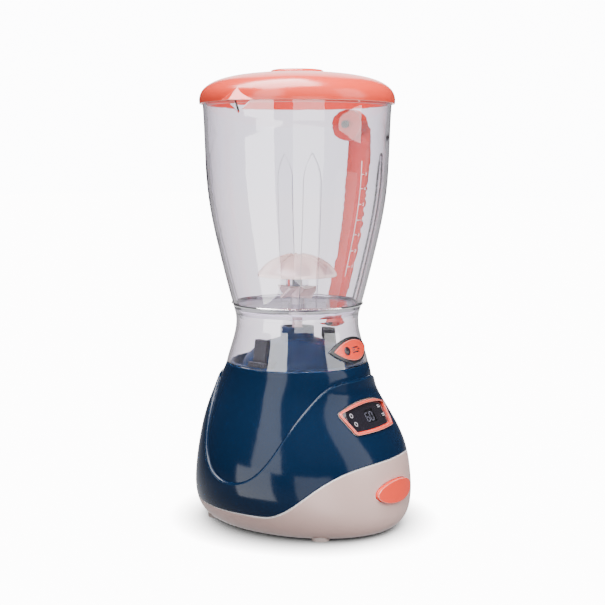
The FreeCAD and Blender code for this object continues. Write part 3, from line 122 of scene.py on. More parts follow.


# Satin ABS: the 0.7 mm grain spreads the highlights, so the bowl looks soft beside the glossy shell.
# Its white edge colour is a painted highlight: the bright line along the seam and the other edges.
beige_abs = moulded("beige_abs_satin_moulded", "#d6b6ae", "#cfafa7", "#ffffff", 0.34, 0.7, 0.25, 0.3, 1.6)
dress(beige_abs, "lower_housing", "battery_door")

# ---- Feet, floor seal -------------------------------------------------------------------------------
# Four feet of soft thermoplastic rubber pushed into the lower housing, and a silicone ring that seals the
# jug's floor on the collar.

# Thermoplastic rubber: dead matt with a 0.5 mm grain, a shade under the housing's beige.
# Its edge colour is a painted highlight.
foot_rubber = moulded("thermoplastic_rubber_moulded", "#c6b5b0", "#bcaba5", "#d8c8c2", 0.8, 0.5, 0.4, 0.3,
                      0.3)
dress(foot_rubber, "feet")

# Silicone: part of the light goes through and the rest scatters back, so the joint shows as a pale line
# under the jug. Its clouds are 2.5 mm wide.
silicone, place = start_material("milky_silicone_moulded")
cloud = add(silicone, "TexNoise", {"Vector": (place, "Object"), "Scale": 1000 / 2.5, "Detail": 2.0})
tint = add(silicone, "Mix", {0: (cloud, "Fac"), 6: linear("#e6dfe8"), 7: linear("#cfc8d0")}, data_type="RGBA")
shader = add(silicone, "BsdfPrincipled", {
    "Base Color": (tint, 2), "Roughness": 0.45, "IOR": 1.41, "Transmission Weight": 0.35})
dress(finish_material(silicone, shader), "floor_seal")

# ---- Screws, contacts -------------------------------------------------------------------------------
# Bought-in hardware: thread-forming screws and the bent strip contacts of the cells. All are cold-formed
# steel, zinc plated in a barrel.


def metal(name, colour, bloom, roughness, grain_mm, stretch=(1.0, 1.0, 1.0)):
    """Bare metal: its colour blooms between two tones, and its grain, stretched along the way the metal was
    worked, sets the gloss and a fine bump."""
    material, place = start_material(name)
    laid = add(material, "Mapping", {"Vector": (place, "Object"), "Scale": stretch})
    grain = add(material, "TexNoise", {"Vector": (laid, 0), "Scale": 1000 / grain_mm, "Detail": 4.0})
    tone = add(material, "Mix", {0: (grain, "Fac"), 6: linear(colour), 7: linear(bloom)}, data_type="RGBA")
    polish = add(material, "MapRange", {"Value": (grain, "Fac"), "To Min": roughness * 0.7,
                                        "To Max": roughness * 1.3})
    bump = add(material, "Bump", {"Height": (grain, "Fac"), "Strength": 0.15, "Distance": 0.00005})
    shader = add(material, "BsdfPrincipled", {
        "Base Color": (tone, 2), "Metallic": 1.0, "Roughness": (polish, 0), "Normal": (bump, 0)})
    return finish_material(material, shader)


# Barrel zinc: grey-white with a cloudy spangle of about 0.8 mm.
zinc_plate = metal("zinc_plated_steel", "#b9bcc0", "#9ea1a6", 0.3, 0.8)
dress(zinc_plate, "housing_screws", "battery_door_screw", "gearbox_screws", "battery_contacts")
# The screws of the handle are zinc painted dark: a painted shade that keeps their deep counterbores dark.
shade_painted_zinc = metal("zinc_painted_counterbore_shade", "#3b3236", "#2c2629", 0.45, 0.8)
dress(shade_painted_zinc, "handle_screws")

# ---- Battery cells ----------------------------------------------------------------------------------
# Three AA cells lie across the base, each turned the other way from its neighbour. A printed shrink film
# covers a nickel-plated can and leaves both ends bare.
cell_rows = (-0.0054, 0.0100, 0.0254)
cell_film_end = 0.0238
cell_band_start = 0.0085

# Printed shrink film: near-black, with a copper band at the end that has the button.
cell_film, place = start_material("shrink_film_printed")
along = add(cell_film, "SeparateXYZ", {"Vector": (place, "Object")})
middle = add(cell_film, "Math", {0: (along, "Y"), 1: cell_rows[1]}, operation="SUBTRACT")
offset = add(cell_film, "Math", {0: (middle, 0)}, operation="ABSOLUTE")
half_row = (cell_rows[2] - cell_rows[1]) / 2
outer_row = add(cell_film, "Math", {0: (offset, 0), 1: half_row}, operation="GREATER_THAN")
facing = add(cell_film, "Math", {0: (outer_row, 0), 1: 2.0, 2: -1.0}, operation="MULTIPLY_ADD")
towards = add(cell_film, "Math", {0: (along, "X"), 1: (facing, 0)}, operation="MULTIPLY")
banded = add(cell_film, "Math", {0: (towards, 0), 1: cell_band_start}, operation="GREATER_THAN")
film = add(cell_film, "Mix", {0: (banded, 0), 6: linear("#1b1d20"), 7: linear("#b5713f")}, data_type="RGBA")
reach = add(cell_film, "Math", {0: (along, "X")}, operation="ABSOLUTE")
bare = add(cell_film, "Math", {0: (reach, 0), 1: cell_film_end}, operation="GREATER_THAN")
tone = add(cell_film, "Mix", {0: (bare, 0), 6: (film, 2), 7: linear("#c3c0b8")}, data_type="RGBA")
scuff = add(cell_film, "TexNoise", {"Vector": (place, "Object"), "Scale": 900.0, "Detail": 3.0})
polish = add(cell_film, "MapRange", {"Value": (scuff, "Fac"), "To Min": 0.18, "To Max": 0.32})
shader = add(cell_film, "BsdfPrincipled", {
    "Base Color": (tone, 2), "Metallic": (bare, 0), "Roughness": (polish, 0)})
dress(finish_material(cell_film, shader), "battery_cells")

# ---- Circuit boards and their parts -----------------------------------------------------------------
# The main board, the display's board and the switch's board are fibreglass with a green solder mask. The
# parts on them are moulded in black epoxy, and so is the body of the start switch.


def board(name, mask, track, track_mm, cell_mm):
    """Circuit board: tracks of track_mm wander between cells of cell_mm and show paler under the mask, over
    a glass weave of 0.6 mm."""
    material, place = start_material(name)
    cells = add(material, "TexVoronoi", {"Vector": (place, "Object"), "Scale": 1000 / cell_mm},
                feature="DISTANCE_TO_EDGE", distance="CHEBYCHEV")
    on_track = add(material, "MapRange", {"Value": (cells, "Distance"), "From Max": track_mm / cell_mm,
                                          "To Min": 1.0, "To Max": 0.0})
    tone = add(material, "Mix", {0: (on_track, 0), 6: linear(mask), 7: linear(track)}, data_type="RGBA")
    weave = add(material, "TexChecker", {"Vector": (place, "Object"), "Scale": 1000 / 0.6})
    bump = add(material, "Bump", {"Height": (weave, "Fac"), "Strength": 0.1, "Distance": 0.00003})
    shader = add(material, "BsdfPrincipled", {
        "Base Color": (tone, 2), "Roughness": 0.3, "Normal": (bump, 0), "IOR": 1.52})
    return finish_material(material, shader)


# Solder-masked fibreglass: glossy green with paler tracks half a millimetre wide.
masked_board = board("fibreglass_solder_masked", "#1f4a31", "#3f7a4f", 0.5, 4.0)
dress(masked_board, "display_board", "switch_board", "main_board")
# Moulded epoxy: charcoal and matt, with a 0.4 mm grain from the filler.
# Its edge colour is a painted highlight.
black_epoxy = moulded("black_epoxy_moulded", "#1c1d1f", "#26272a", "#35363a", 0.5, 0.4, 0.4, 0.4, 0.2)
dress(black_epoxy, "start_switch", "board_parts", "motor_end_cap")

# ---- Loudspeaker ------------------------------------------------------------------------------------
# A small moving-coil speaker behind the sound holes: a pressed steel basket with a paper cone and a paper
# cap over the coil.
speaker_centre = (0.0, -0.043, 0.0)
cone_radius = 0.0118
cap_radius = 0.0045

# Pulp paper inside a pressed basket: matt fibres where the cone is, satin metal at the rim.
speaker_paper, place = start_material("pulp_paper_pressed")
to_axis = tuple(-c for c in speaker_centre)
centred = add(speaker_paper, "Mapping", {"Vector": (place, "Object"), "Location": to_axis})
level = add(speaker_paper, "VectorMath", {0: (centred, 0), 1: (1.0, 1.0, 0.0)}, operation="MULTIPLY")
radius = add(speaker_paper, "VectorMath", {0: (level, 0)}, operation="LENGTH")
rim = add(speaker_paper, "Math", {0: (radius, "Value"), 1: cone_radius}, operation="GREATER_THAN")
dust_cap = add(speaker_paper, "Math", {0: (radius, "Value"), 1: cap_radius}, operation="LESS_THAN")
cone = add(speaker_paper, "Mix", {
    0: (dust_cap, 0), 6: linear("#232225"), 7: linear("#343338")}, data_type="RGBA")
tone = add(speaker_paper, "Mix", {0: (rim, 0), 6: (cone, 2), 7: linear("#9b9da1")}, data_type="RGBA")
fibre = add(speaker_paper, "TexNoise", {"Vector": (place, "Object"), "Scale": 1800.0, "Detail": 4.0})
bump = add(speaker_paper, "Bump", {"Height": (fibre, "Fac"), "Strength": 0.4, "Distance": 0.0001})
gloss = add(speaker_paper, "MapRange", {"Value": (rim, 0), "To Min": 0.9, "To Max": 0.35})
shader = add(speaker_paper, "BsdfPrincipled", {
    "Base Color": (tone, 2), "Metallic": (rim, 0), "Roughness": (gloss, 0), "Normal": (bump, 0)})
dress(finish_material(speaker_paper, shader), "speaker")

# ---- Motor, shafts, gears ---------------------------------------------------------------------------
# The motor's can is deep-drawn from steel strip, its shaft and the two drive shafts are ground steel, and
# the gears, the two gearbox plates and the jug's bush are moulded in natural acetal.

# Drawn steel: fine scores 0.3 mm apart run up the can.
drawn_steel = metal("drawn_steel_can", "#a9adb1", "#8d9196", 0.28, 0.3, (1.0, 1.0, 0.04))
dress(drawn_steel, "motor_can")
# Ground steel: bright, with the grinding wheel's rings every 0.2 mm.
ground_steel = metal("ground_steel_shaft", "#c6c9cc", "#aeb1b5", 0.16, 0.2, (0.05, 0.05, 1.0))
dress(ground_steel, "motor_shaft", "drive_shaft", "blade_shaft")
# Natural acetal: milk-white and slippery, with a faint 1 mm flow grain.
# Its edge colour is a painted highlight.
white_acetal = moulded("natural_acetal_moulded", "#e9e7e0", "#dfdcd2", "#ffffff", 0.35, 1.0, 0.1, 0.5, 0.2)
dress(white_acetal, "gearbox_lower_plate", "gearbox_upper_plate", "output_gear", "motor_pinion",
      "shaft_bush")

# ---- Lead wires -------------------------------------------------------------------------------------
# Single-core leads with a soft PVC jacket, soldered from board to board.

# Extruded PVC: red with a soft shine and a 0.5 mm ripple from the die.
# Its edge colour is a painted highlight.
pvc_jacket = moulded("red_pvc_extruded", "#8e2b26", "#7e2420", "#a8463f", 0.35, 0.5, 0.2, 0.4, 0.1)
dress(pvc_jacket, "lead_wires")

# ---- Upper housing, drive dome ----------------------------------------------------------------------
# The shell of the base with its raised panel, and the dome that the jug sits over. Both are moulded
# in navy ABS from mirror-polished tools. The dome's rim is held by the shell's locating ring.

# Gloss ABS: smooth enough to mirror the studio's cards, with almost no grain left.
# Its paler blue edge colour is a painted highlight along the panel's rolled edge and the other edges.
navy_abs = moulded("navy_abs_gloss_moulded", "#0d233e", "#0b1f38", "#234261", 0.11, 2.5, 0.03, 0.09, 0.6)
dress(navy_abs, "upper_housing", "drive_dome")

# The raised panel ends in a U on each side and a level line across front and back.
panel_low_curve = ((0.0, 36.2), (16.0, 36.2), (25.0, 48.0), (29.5, 60.0))
panel_high_curve = ((29.5, 60.0), (36.0, 77.5), (39.5, 95.4), (49.0, 95.4))
panel_level = 0.0954
panel_reach = 0.0455
panel_step = 0.00175
roll_width = 0.0013
edge_setback = 0.0002
skin_overlap = 0.0003
core_overlap = 0.0004
low_curve_steps = 30
high_curve_steps = 34
level_steps = 24
roll_steps = 9
beyond_base = 0.12


def bezier(corners, steps):
    """Points of a cubic Bezier: the sum of corners weighted by (1-t)^3, 3t(1-t)^2, 3t^2(1-t) and t^3."""
    t = np.linspace(0, 1, steps)[:, None]
    a, b, c, d = np.array(corners) / 1000
    return (1 - t) ** 3 * a + 3 * t * (1 - t) ** 2 * b + 3 * t ** 2 * (1 - t) * c + t ** 3 * d


def struck(node, starts, directions):
    """Where rays from the starts first meet a CAD node, as points and outward normals."""
    hits = [nodes[node].ray_cast(Vector(a), Vector(b)) for a, b in zip(starts, directions)]
    return np.array([hit[1] for hit in hits]), np.array([hit[2] for hit in hits])


def side_rays(sign):
    """Rays along X at one side of the base, down one arm of the U and up the other, just outside it."""
    arm = np.vstack([bezier(panel_low_curve, low_curve_steps)[:-1],
                     bezier(panel_high_curve, high_curve_steps)])
    arm = arm[arm[:, 0] < panel_reach]
    whole = np.vstack([arm[::-1], arm[1:] * (-1, 1)])
    along = np.gradient(whole, axis=0)
    along /= np.linalg.norm(along, axis=1)[:, None]
    outside = np.stack([along[:, 1], -along[:, 0]], axis=1)
    whole -= outside * edge_setback * np.sign(outside[len(outside) // 2, 1])
    starts = np.column_stack([np.full(len(whole), beyond_base * sign), whole[:, 0] * sign, whole[:, 1]])
    return starts, np.tile([-sign, 0.0, 0.0], (len(whole), 1))


def level_rays(first, last):
    """Rays towards the axis between two angles, just under the panel's level line."""
    angle = np.linspace(first, last, level_steps)[1:-1]
    ring = np.stack([np.cos(angle), np.sin(angle), np.zeros_like(angle)], axis=1)
    return ring * beyond_base + (0, 0, panel_level - edge_setback), -ring


def grid_faces(rows, columns, rows_close=False):
    """Quads of a grid of points whose columns join round, and whose rows do if rows_close."""
    first_rows = np.arange(rows if rows_close else rows - 1)
    row, column = np.meshgrid(first_rows, np.arange(columns), indexing="ij")
    after, beside = (row + 1) % rows, (column + 1) % columns
    return np.stack([row * columns + column, row * columns + beside, after * columns + beside,
                     after * columns + column], axis=-1).reshape(-1, 4)


def piece(name, points, faces, material, body):
    """A new smooth piece from points and faces, dressed and riding on a body."""
    mesh = bpy.data.meshes.new(name)
    mesh.from_pydata(np.asarray(points).reshape(-1, 3).tolist(), [], [list(face) for face in faces])
    mesh.shade_smooth()
    mesh.materials.append(material)
    made = bpy.data.objects.new(name, mesh)
    bpy.context.scene.collection.objects.link(made)
    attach(made, body)
    return made


def eased(track):
    """A closed track of vectors, each averaged with its neighbours and made unit length."""
    for _ in range(3):
        track = (np.roll(track, 1, axis=0) + 2 * track + np.roll(track, -1, axis=0)) / 4
    return track / np.linalg.norm(track, axis=1)[:, None]


bpy.context.view_layer.update()
left_starts, left_aims = side_rays(-1)
right_starts, right_aims = side_rays(1)
seam = []
for starts, aims in ((left_starts, left_aims), (right_starts, right_aims)):
    seam.append(struck("upper_housing", starts, aims))
turns = []
for here, there in ((seam[0][0][-1], seam[1][0][0]), (seam[1][0][-1], seam[0][0][0])):
    first, last = math.atan2(here[1], here[0]), math.atan2(there[1], there[0])
    turn = (last - first + math.pi) % (2 * math.pi) - math.pi
    turns.append(struck("upper_housing", *level_rays(first, first + turn)))
track = np.vstack([seam[0][0], turns[0][0], seam[1][0], turns[1][0]])
outward = eased(np.vstack([seam[0][1], turns[0][1], seam[1][1], turns[1][1]]))
along = eased(np.roll(track, -1, axis=0) - np.roll(track, 1, axis=0))
inward = np.cross(outward, along)
inward *= np.sign(inward[len(seam[0][0]) // 2, 2])
# The rolled edge: a quarter of an ellipse from the panel's face down to the core, closed inside the wall.
quarter = np.linspace(0, math.pi / 2, roll_steps)
across = np.concatenate([roll_width * np.sin(quarter), [roll_width, -skin_overlap, -skin_overlap]])
under_core = panel_step + core_overlap
depth = np.concatenate([panel_step * (1 - np.cos(quarter)), [under_core, under_core, skin_overlap]])
rolled = (track[:, None] + inward[:, None] * across[None, :, None]
          - outward[:, None] * depth[None, :, None])
piece("panel_rolled_edge", rolled, grid_faces(len(track), len(across), True), navy_abs, "base")

# ---- Button's return spring -------------------------------------------------------------------------
# A compression spring between the button's flange and the switch's board, coiled from zinc-plated steel wire.
# Its end turns lie flat.
wire_radius = 0.0005
coil_turns = 5.0
flat_share = 0.12
wire_sides = 10
wire_steps = 180
spring_low, spring_high = (np.array(tuple(corner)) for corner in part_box("button_spring"))
coil_radius = (spring_high[0] - spring_low[0]) / 2 - wire_radius
coil_centre = (spring_low + spring_high) / 2

# The wire's middle turns round Y as t goes from 0 to 1, and advances only between the flat ends.
t = np.linspace(0, 1, wire_steps)
turn = 2 * math.pi * coil_turns * t
advance = np.clip((t - flat_share) / (1 - 2 * flat_share), 0, 1)
coil_run = spring_high[1] - spring_low[1] - 2 * wire_radius
radial = np.stack([np.cos(turn), np.zeros_like(t), np.sin(turn)], axis=1)
middle = radial * coil_radius + (coil_centre[0], 0, coil_centre[2])
middle[:, 1] = spring_low[1] + wire_radius + coil_run * advance
heading = np.gradient(middle, axis=0)
heading /= np.linalg.norm(heading, axis=1)[:, None]
beside = np.cross(heading, radial)
around = np.linspace(0, 2 * math.pi, wire_sides, endpoint=False)
wire = middle[:, None] + wire_radius * (radial[:, None] * np.cos(around)[None, :, None]
                                        + beside[:, None] * np.sin(around)[None, :, None])
last = (wire_steps - 1) * wire_sides
ends = [list(range(wire_sides))[::-1], list(range(last, last + wire_sides))]
skin = grid_faces(wire_steps, wire_sides).tolist()
coil = piece("button_coil", wire, skin + ends, zinc_plate, "base")
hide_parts("button_spring")
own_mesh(coil)

# ---- Black pieces: jug catches, lock pads, badge bezel, drive coupling ------------------------------
# Small working pieces in black glass-filled nylon: the catches and pads are pinned to the deck, the bezel
# frames the badge, and the coupling is pressed on the drive shaft.

# Moulded nylon: half matt, with the grey bloom of the glass fibres in a 0.6 mm grain.
# Its edge colour is a painted highlight.
black_nylon = moulded("black_nylon_moulded", "#141619", "#1b1d21", "#3a3d42", 0.35, 0.6, 0.25, 0.4, 0.3)
dress(black_nylon, "jug_catches", "lock_pads", "badge_bezel", "drive_coupling")

# ---- Coral pieces: lid and its cap, handle, start button, display ring, badge plate -----------------
# All are moulded in coral ABS. The lid and its cap are spun shapes, the handle is screwed to the jug, the
# button slides in the lower housing, and the display ring and the badge plate are pressed into place.

# Gloss ABS from the same tools' finish: a soft mirror that shows the lamps as broad pale patches.
# Its pale pink edge colour is a painted reflection of the white room in the rounded edges.
coral_abs = moulded("coral_abs_gloss_moulded", "#ff4f39", "#fa4a35", "#ffc9bc", 0.2, 1.8, 0.06, 0.25, 0.8)
dress(coral_abs, "lid", "lid_cap", "handle", "start_button", "display_bezel", "badge_plate")

# ---- Display lip, window, screen, digits, lights ----------------------------------------------------
# An ABS lip under the coral ring, a window of smoked acrylic, and behind it a liquid crystal with two
# plain digits and four resin lights, soldered to their board.

# The lip is satin cream ABS painted a warm dark grey: a painted shadow of the gap it sits in, and its pale
# edges are a painted highlight.
lip_painted_shadow_abs = moulded("cream_abs_satin_painted_shadow", "#5d5450", "#544b48", "#cfc4bd", 0.3, 0.8, 0.15, 0.3, 0.4)
dress(lip_painted_shadow_abs, "display_lip")

screen_middle = 0.0736
screen_half_width = 0.0050
screen_half_height = 0.0036

# Polished acrylic, smoked grey. Its back is printed with a charcoal mask that stops round the screen, so
# only the screen shows through.
smoked_acrylic, place = start_material("smoked_acrylic_back_printed")
axes = add(smoked_acrylic, "SeparateXYZ", {"Vector": (place, "Object")})
side = add(smoked_acrylic, "Math", {0: (axes, "X")}, operation="ABSOLUTE")
above = add(smoked_acrylic, "Math", {0: (axes, "Z"), 1: screen_middle}, operation="SUBTRACT")
height = add(smoked_acrylic, "Math", {0: (above, 0)}, operation="ABSOLUTE")
low = add(smoked_acrylic, "Math", {0: (height, 0), 1: screen_half_height}, operation="LESS_THAN")
narrow = add(smoked_acrylic, "Math", {0: (side, 0), 1: screen_half_width}, operation="LESS_THAN")
unprinted = add(smoked_acrylic, "Math", {0: (low, 0), 1: (narrow, 0)}, operation="MULTIPLY")
haze = add(smoked_acrylic, "TexNoise", {"Vector": (place, "Object"), "Scale": 500.0, "Detail": 2.0})
polish = add(smoked_acrylic, "MapRange", {"Value": (haze, "Fac"), "To Min": 0.02, "To Max": 0.05})
smoke = linear("#8f8d96")
mask = add(smoked_acrylic, "BsdfPrincipled", {
    "Base Color": linear("#232128"), "Roughness": (polish, 0), "IOR": 1.49})
glass = add(smoked_acrylic, "BsdfPrincipled", {
    "Base Color": smoke, "Roughness": (polish, 0), "IOR": 1.49, "Transmission Weight": 1.0})
ray = add(smoked_acrylic, "LightPath")
passing = add(smoked_acrylic, "BsdfTransparent", {"Color": smoke})
open_part = add(smoked_acrylic, "MixShader", {
    "Fac": (ray, "Is Shadow Ray"), 1: (glass, 0), 2: (passing, 0)})
mix = add(smoked_acrylic, "MixShader", {"Fac": (unprinted, 0), 1: (mask, 0), 2: (open_part, 0)})
dress(finish_material(smoked_acrylic, mix), "display_window")


def glowing(name, colour, strength, roughness):
    """Resin or crystal that gives a little light of its own, cloudy over a millimetre."""
    material, place = start_material(name)
    cloud = add(material, "TexNoise", {"Vector": (place, "Object"), "Scale": 900.0, "Detail": 1.0})
    level = add(material, "MapRange", {"Value": (cloud, "Fac"), "To Min": strength * 0.85,
                                       "To Max": strength * 1.15})
    shader = add(material, "BsdfPrincipled", {
        "Base Color": linear(colour), "Roughness": roughness, "IOR": 1.5,
        "Emission Color": linear(colour), "Emission Strength": (level, 0)})
    return finish_material(material, shader)


# Diffused epoxy resin: the lights read as pale dots behind the window.
led_resin = glowing("diffused_epoxy_resin", "#c9c2c4", 0.8, 0.4)
dress(led_resin, "indicator_lights")

# Liquid crystal behind polished glass: nearly black, with a 0.4 mm cell grid.
crystal_glass, place = start_material("liquid_crystal_glass")
cells = add(crystal_glass, "TexChecker", {"Vector": (place, "Object"), "Scale": 1000 / 0.4,
                                          "Color1": linear("#14161a"), "Color2": linear("#0b0d10")})
shader = add(crystal_glass, "BsdfPrincipled", {"Base Color": (cells, 0), "Roughness": 0.08, "IOR": 1.52})
dress(finish_material(crystal_glass, shader), "display_screen")

display_lean = math.radians(33.0)
screen_front = Vector((0.0, -0.05585, 0.07262))
digit_height = 0.0056
digit_width = 0.0029
digit_stroke = 0.0008
digit_pitch = 0.0044
digit_thickness = 0.00012
digit_lift = 0.00004
stroke_gap = digit_stroke * 0.2
# The seven strokes of a digit as (across, up, upright) in units of its half width and half height.
strokes = ((0, 1, 0), (1, 0.5, 1), (1, -0.5, 1), (0, -1, 0), (-1, -0.5, 1), (-1, 0.5, 1), (0, 0, 0))
lit_strokes = ((0, 2, 3, 4, 5, 6), (0, 1, 2, 3, 4, 5))


def stroke_outline(across, up, upright, centre):
    """Six corners of one stroke: a bar with pointed ends."""
    half_length = (digit_height / 2 if upright else digit_width) / 2 - stroke_gap
    side = digit_stroke / 2
    bar = np.array([(-half_length, 0), (-half_length + side, -side), (half_length - side, -side),
                    (half_length, 0), (half_length - side, side), (-half_length + side, side)])
    bar = np.stack([-bar[:, 1], bar[:, 0]], axis=1) if upright else bar
    return bar + (centre + across * digit_width / 2, up * digit_height / 2)


def slabs(outlines, thickness):
    """Closed slabs from equal flat outlines: a front, a back and a wall round each."""
    outlines = np.array(outlines)
    count, corners = outlines.shape[:2]
    front = np.concatenate([outlines, np.full((count, corners, 1), thickness)], axis=2)
    back = np.concatenate([outlines, np.zeros((count, corners, 1))], axis=2)
    points = np.concatenate([front, back], axis=1).reshape(-1, 3)
    faces = []
    for start in range(0, count * corners * 2, corners * 2):
        top = [start + k for k in range(corners)]
        under = [start + corners + k for k in range(corners)]
        faces += [top, under[::-1]]
        faces += [[top[k - 1], under[k - 1], under[k], top[k]] for k in range(corners)]
    return points, faces


bars = [stroke_outline(*strokes[k], (column - 0.5) * digit_pitch)
        for column, lit in enumerate(lit_strokes) for k in lit]
flat, faces = slabs(bars, digit_thickness)
right = np.array((1.0, 0.0, 0.0))
up = np.array((0.0, math.sin(display_lean), math.cos(display_lean)))
out = np.array((0.0, -math.cos(display_lean), math.sin(display_lean)))
digits = np.array(screen_front) + flat[:, :1] * right + flat[:, 1:2] * up + (flat[:, 2:] + digit_lift) * out
# Liquid crystal strokes, lit from behind: soft grey, dimmed by the smoked window.
crystal_strokes = glowing("liquid_crystal_strokes", "#b9bcc4", 1.0, 0.3)
piece("display_digits", digits, faces, crystal_strokes, "base").data.shade_flat()

# ---- Clear pieces: jug, collar, blade hub -----------------------------------------------------------
# The jug and its collar are injection-moulded in clear polystyrene and welded into one, with the hub of the
# blades turned from the same plastic. The scale is raised on the front wall by the tool.


def clear(name, tint, deep_tint, roughness, flow_mm, gloss):
    """Clear plastic with the plastic's own IOR. The light that crosses a wall at a slant has further to go,
    so it takes the deeper tint, and slow flow marks ripple the skin."""
    material, place = start_material(name)
    slant = add(material, "LayerWeight", {"Blend": 0.35})
    shade = add(material, "Mix", {
        0: (slant, "Facing"), 6: linear(tint), 7: linear(deep_tint)}, data_type="RGBA")
    ripple = add(material, "TexNoise", {
        "Vector": (place, "Object"), "Scale": 1000 / flow_mm, "Detail": 1.0})
    bump = add(material, "Bump", {"Height": (ripple, "Fac"), "Strength": 0.05, "Distance": 0.001})
    shader = add(material, "BsdfPrincipled", {
        "Base Color": (shade, 2), "Roughness": roughness, "Normal": (bump, 0), "IOR": 1.59,
        "Transmission Weight": 1.0, "Specular IOR Level": gloss})
    ray = add(material, "LightPath")
    passing = add(material, "BsdfTransparent", {"Color": linear(tint)})
    mix = add(material, "MixShader", {"Fac": (ray, "Is Shadow Ray"), 1: (shader, 0), 2: (passing, 0)})
    return finish_material(material, mix)


# Polystyrene: brilliantly clear and glossy, faintly lilac, and greyer where its walls are seen edge-on.
clear_styrene = clear("clear_polystyrene_moulded", "#f5f3f9", "#cfc3d0", 0.015, 22, 1.0)
dress(clear_styrene, "jug_body", "jug_collar", "blade_hub")


def laid_on(made, node, lift, thickness):
    """Presses a flat piece along Y on to a CAD node's outer face and thickens it outwards."""
    wrap = made.modifiers.new("press", "SHRINKWRAP")
    wrap.target = nodes[node]
    wrap.wrap_method = "PROJECT"
    wrap.use_project_y = True
    wrap.wrap_mode = "ABOVE_SURFACE"
    wrap.offset = lift
    wall = made.modifiers.new("thicken", "SOLIDIFY")
    wall.thickness = thickness
    wall.offset = 1.0
    pressed = bpy.data.meshes.new_from_object(made.evaluated_get(bpy.context.evaluated_depsgraph_get()))
    made.modifiers.clear()
    made.data = pressed


scale_heights = (0.1683, 0.1781, 0.1881, 0.1971, 0.2068, 0.2164, 0.2250)
scale_x = -0.0125
scale_below = 0.006
scale_above = 0.008
tick_lengths = (0.0021, 0.0021, 0.0021, 0.0036, 0.0021, 0.0021, 0.0021)
tick_stroke = 0.0004
number_height = 0.0019
number_gap = 0.0012
# A letter's size is 1.45 times the height of its figures.
size_to_height = 1.45
# Flat marks are drawn this far in front of the axis, before they are pressed on to a wall.
drawing_plane = -0.09


def letters(words, height, x, z):
    """Flat outlines of plain lettering in the XZ plane, as points and faces."""
    curve = bpy.data.curves.new("letters", "FONT")
    curve.body = words
    curve.size = height * size_to_height
    curve.resolution_u = 3
    text = bpy.data.objects.new("letters", curve)
    mesh = bpy.data.meshes.new_from_object(text)
    points = np.array([tuple(v.co) for v in mesh.vertices])
    faces = [list(face.vertices) for face in mesh.polygons]
    bpy.data.objects.remove(text)
    level = points[:, 1] + z - height / 2
    return np.stack([points[:, 0] + x, np.full(len(points), drawing_plane), level], axis=1), faces


def joined(shapes):
    """One set of points and faces from several."""
    points, faces, count = [], [], 0
    for shape, shape_faces in shapes:
        points.append(shape)
        faces += [[count + k for k in face] for face in shape_faces]
        count += len(shape)
    return np.vstack(points), faces


def strip(x0, x1, z0, z1, rows):
    """An upright strip in the XZ plane, cut into rows so that it can bend."""
    z = np.repeat(np.linspace(z0, z1, rows + 1), 2)
    x = np.tile([x0, x1], rows + 1)
    faces = [[2 * k, 2 * k + 1, 2 * k + 3, 2 * k + 2] for k in range(rows)]
    return np.stack([x, np.full(len(x), drawing_plane), z], axis=1), faces


scale_rows = 30
marks = [strip(scale_x - tick_stroke, scale_x, scale_heights[0] - scale_below,
               scale_heights[-1] + scale_above, scale_rows)]
for number, (height, length) in enumerate(zip(scale_heights, tick_lengths), 1):
    marks.append(strip(scale_x, scale_x + length, height - tick_stroke / 2, height + tick_stroke / 2, 1))
    marks.append(letters(str(number), number_height, scale_x + length + number_gap, height))
points, faces = joined(marks)

# Frosted polystyrene: the scale's faces are sand-blasted with a 0.4 mm grit, so they scatter the light and
# read white on the clear wall.
frosted_styrene, place = start_material("frosted_polystyrene")
blast = add(frosted_styrene, "TexNoise", {"Vector": (place, "Object"), "Scale": 1000 / 0.4, "Detail": 2.0})
bump = add(frosted_styrene, "Bump", {"Height": (blast, "Fac"), "Strength": 0.4, "Distance": 0.00005})
shader = add(frosted_styrene, "BsdfPrincipled", {
    "Base Color": linear("#fdf6f8"), "Roughness": 0.6, "Normal": (bump, 0), "IOR": 1.59,
    "Transmission Weight": 0.35})
finish_material(frosted_styrene, shader)
scale_lift = 0.00003
scale_thickness = 0.00025
scale = piece("jug_scale", points, faces, frosted_styrene, "jug")
laid_on(scale, "jug_body", scale_lift, scale_thickness)

# The bead round the jug's foot is a half-round rib where the tool's two halves meet: a circle of
# bead_radius carried round the wall, with its middle on the wall's face.
bead_radius = 0.0009
bead_height = 0.1415
bead_steps = 180
bead_sides = 12
beyond_jug = 0.09
turn = np.linspace(0, 2 * math.pi, bead_steps, endpoint=False)
ring = np.stack([np.cos(turn), np.sin(turn), np.zeros(bead_steps)], axis=1)
wall_hits, _ = struck("jug_body", ring * beyond_jug + (0, 0, bead_height), -ring)
round_angle = np.linspace(0, 2 * math.pi, bead_sides, endpoint=False)
outward = wall_hits * (1, 1, 0)
outward /= np.linalg.norm(outward, axis=1)[:, None]
bead = (wall_hits[:, None] + outward[:, None] * (np.cos(round_angle) * bead_radius)[None, :, None]
        + np.array((0, 0, 1.0)) * (np.sin(round_angle) * bead_radius)[None, :, None])
piece("jug_foot_bead", bead, grid_faces(bead_steps, bead_sides, True), clear_styrene, "jug")

# ---- Blades, their coupling and cap -----------------------------------------------------------------
# The blades, the ribbed cap over them and the coupling below the jug are moulded in the housing's beige
# ABS, with a tighter grain. The hub between them is clear.

# Satin ABS, a shade deeper than the housing because the tool is smaller and hotter.
# Its edge colour is a painted highlight.
blade_abs = moulded("beige_abs_blade_moulded", "#cfb6b1", "#c6aca6", "#fffaf6", 0.28, 0.7, 0.2, 0.4, 0.4)
dress(blade_abs, "lower_blades", "jug_coupling")

cap_arch_count = 8
cap_arch_low = 0.1612
cap_arch_high = 0.1715
arch_low_fade = 0.0006
arch_high_fade = 0.006

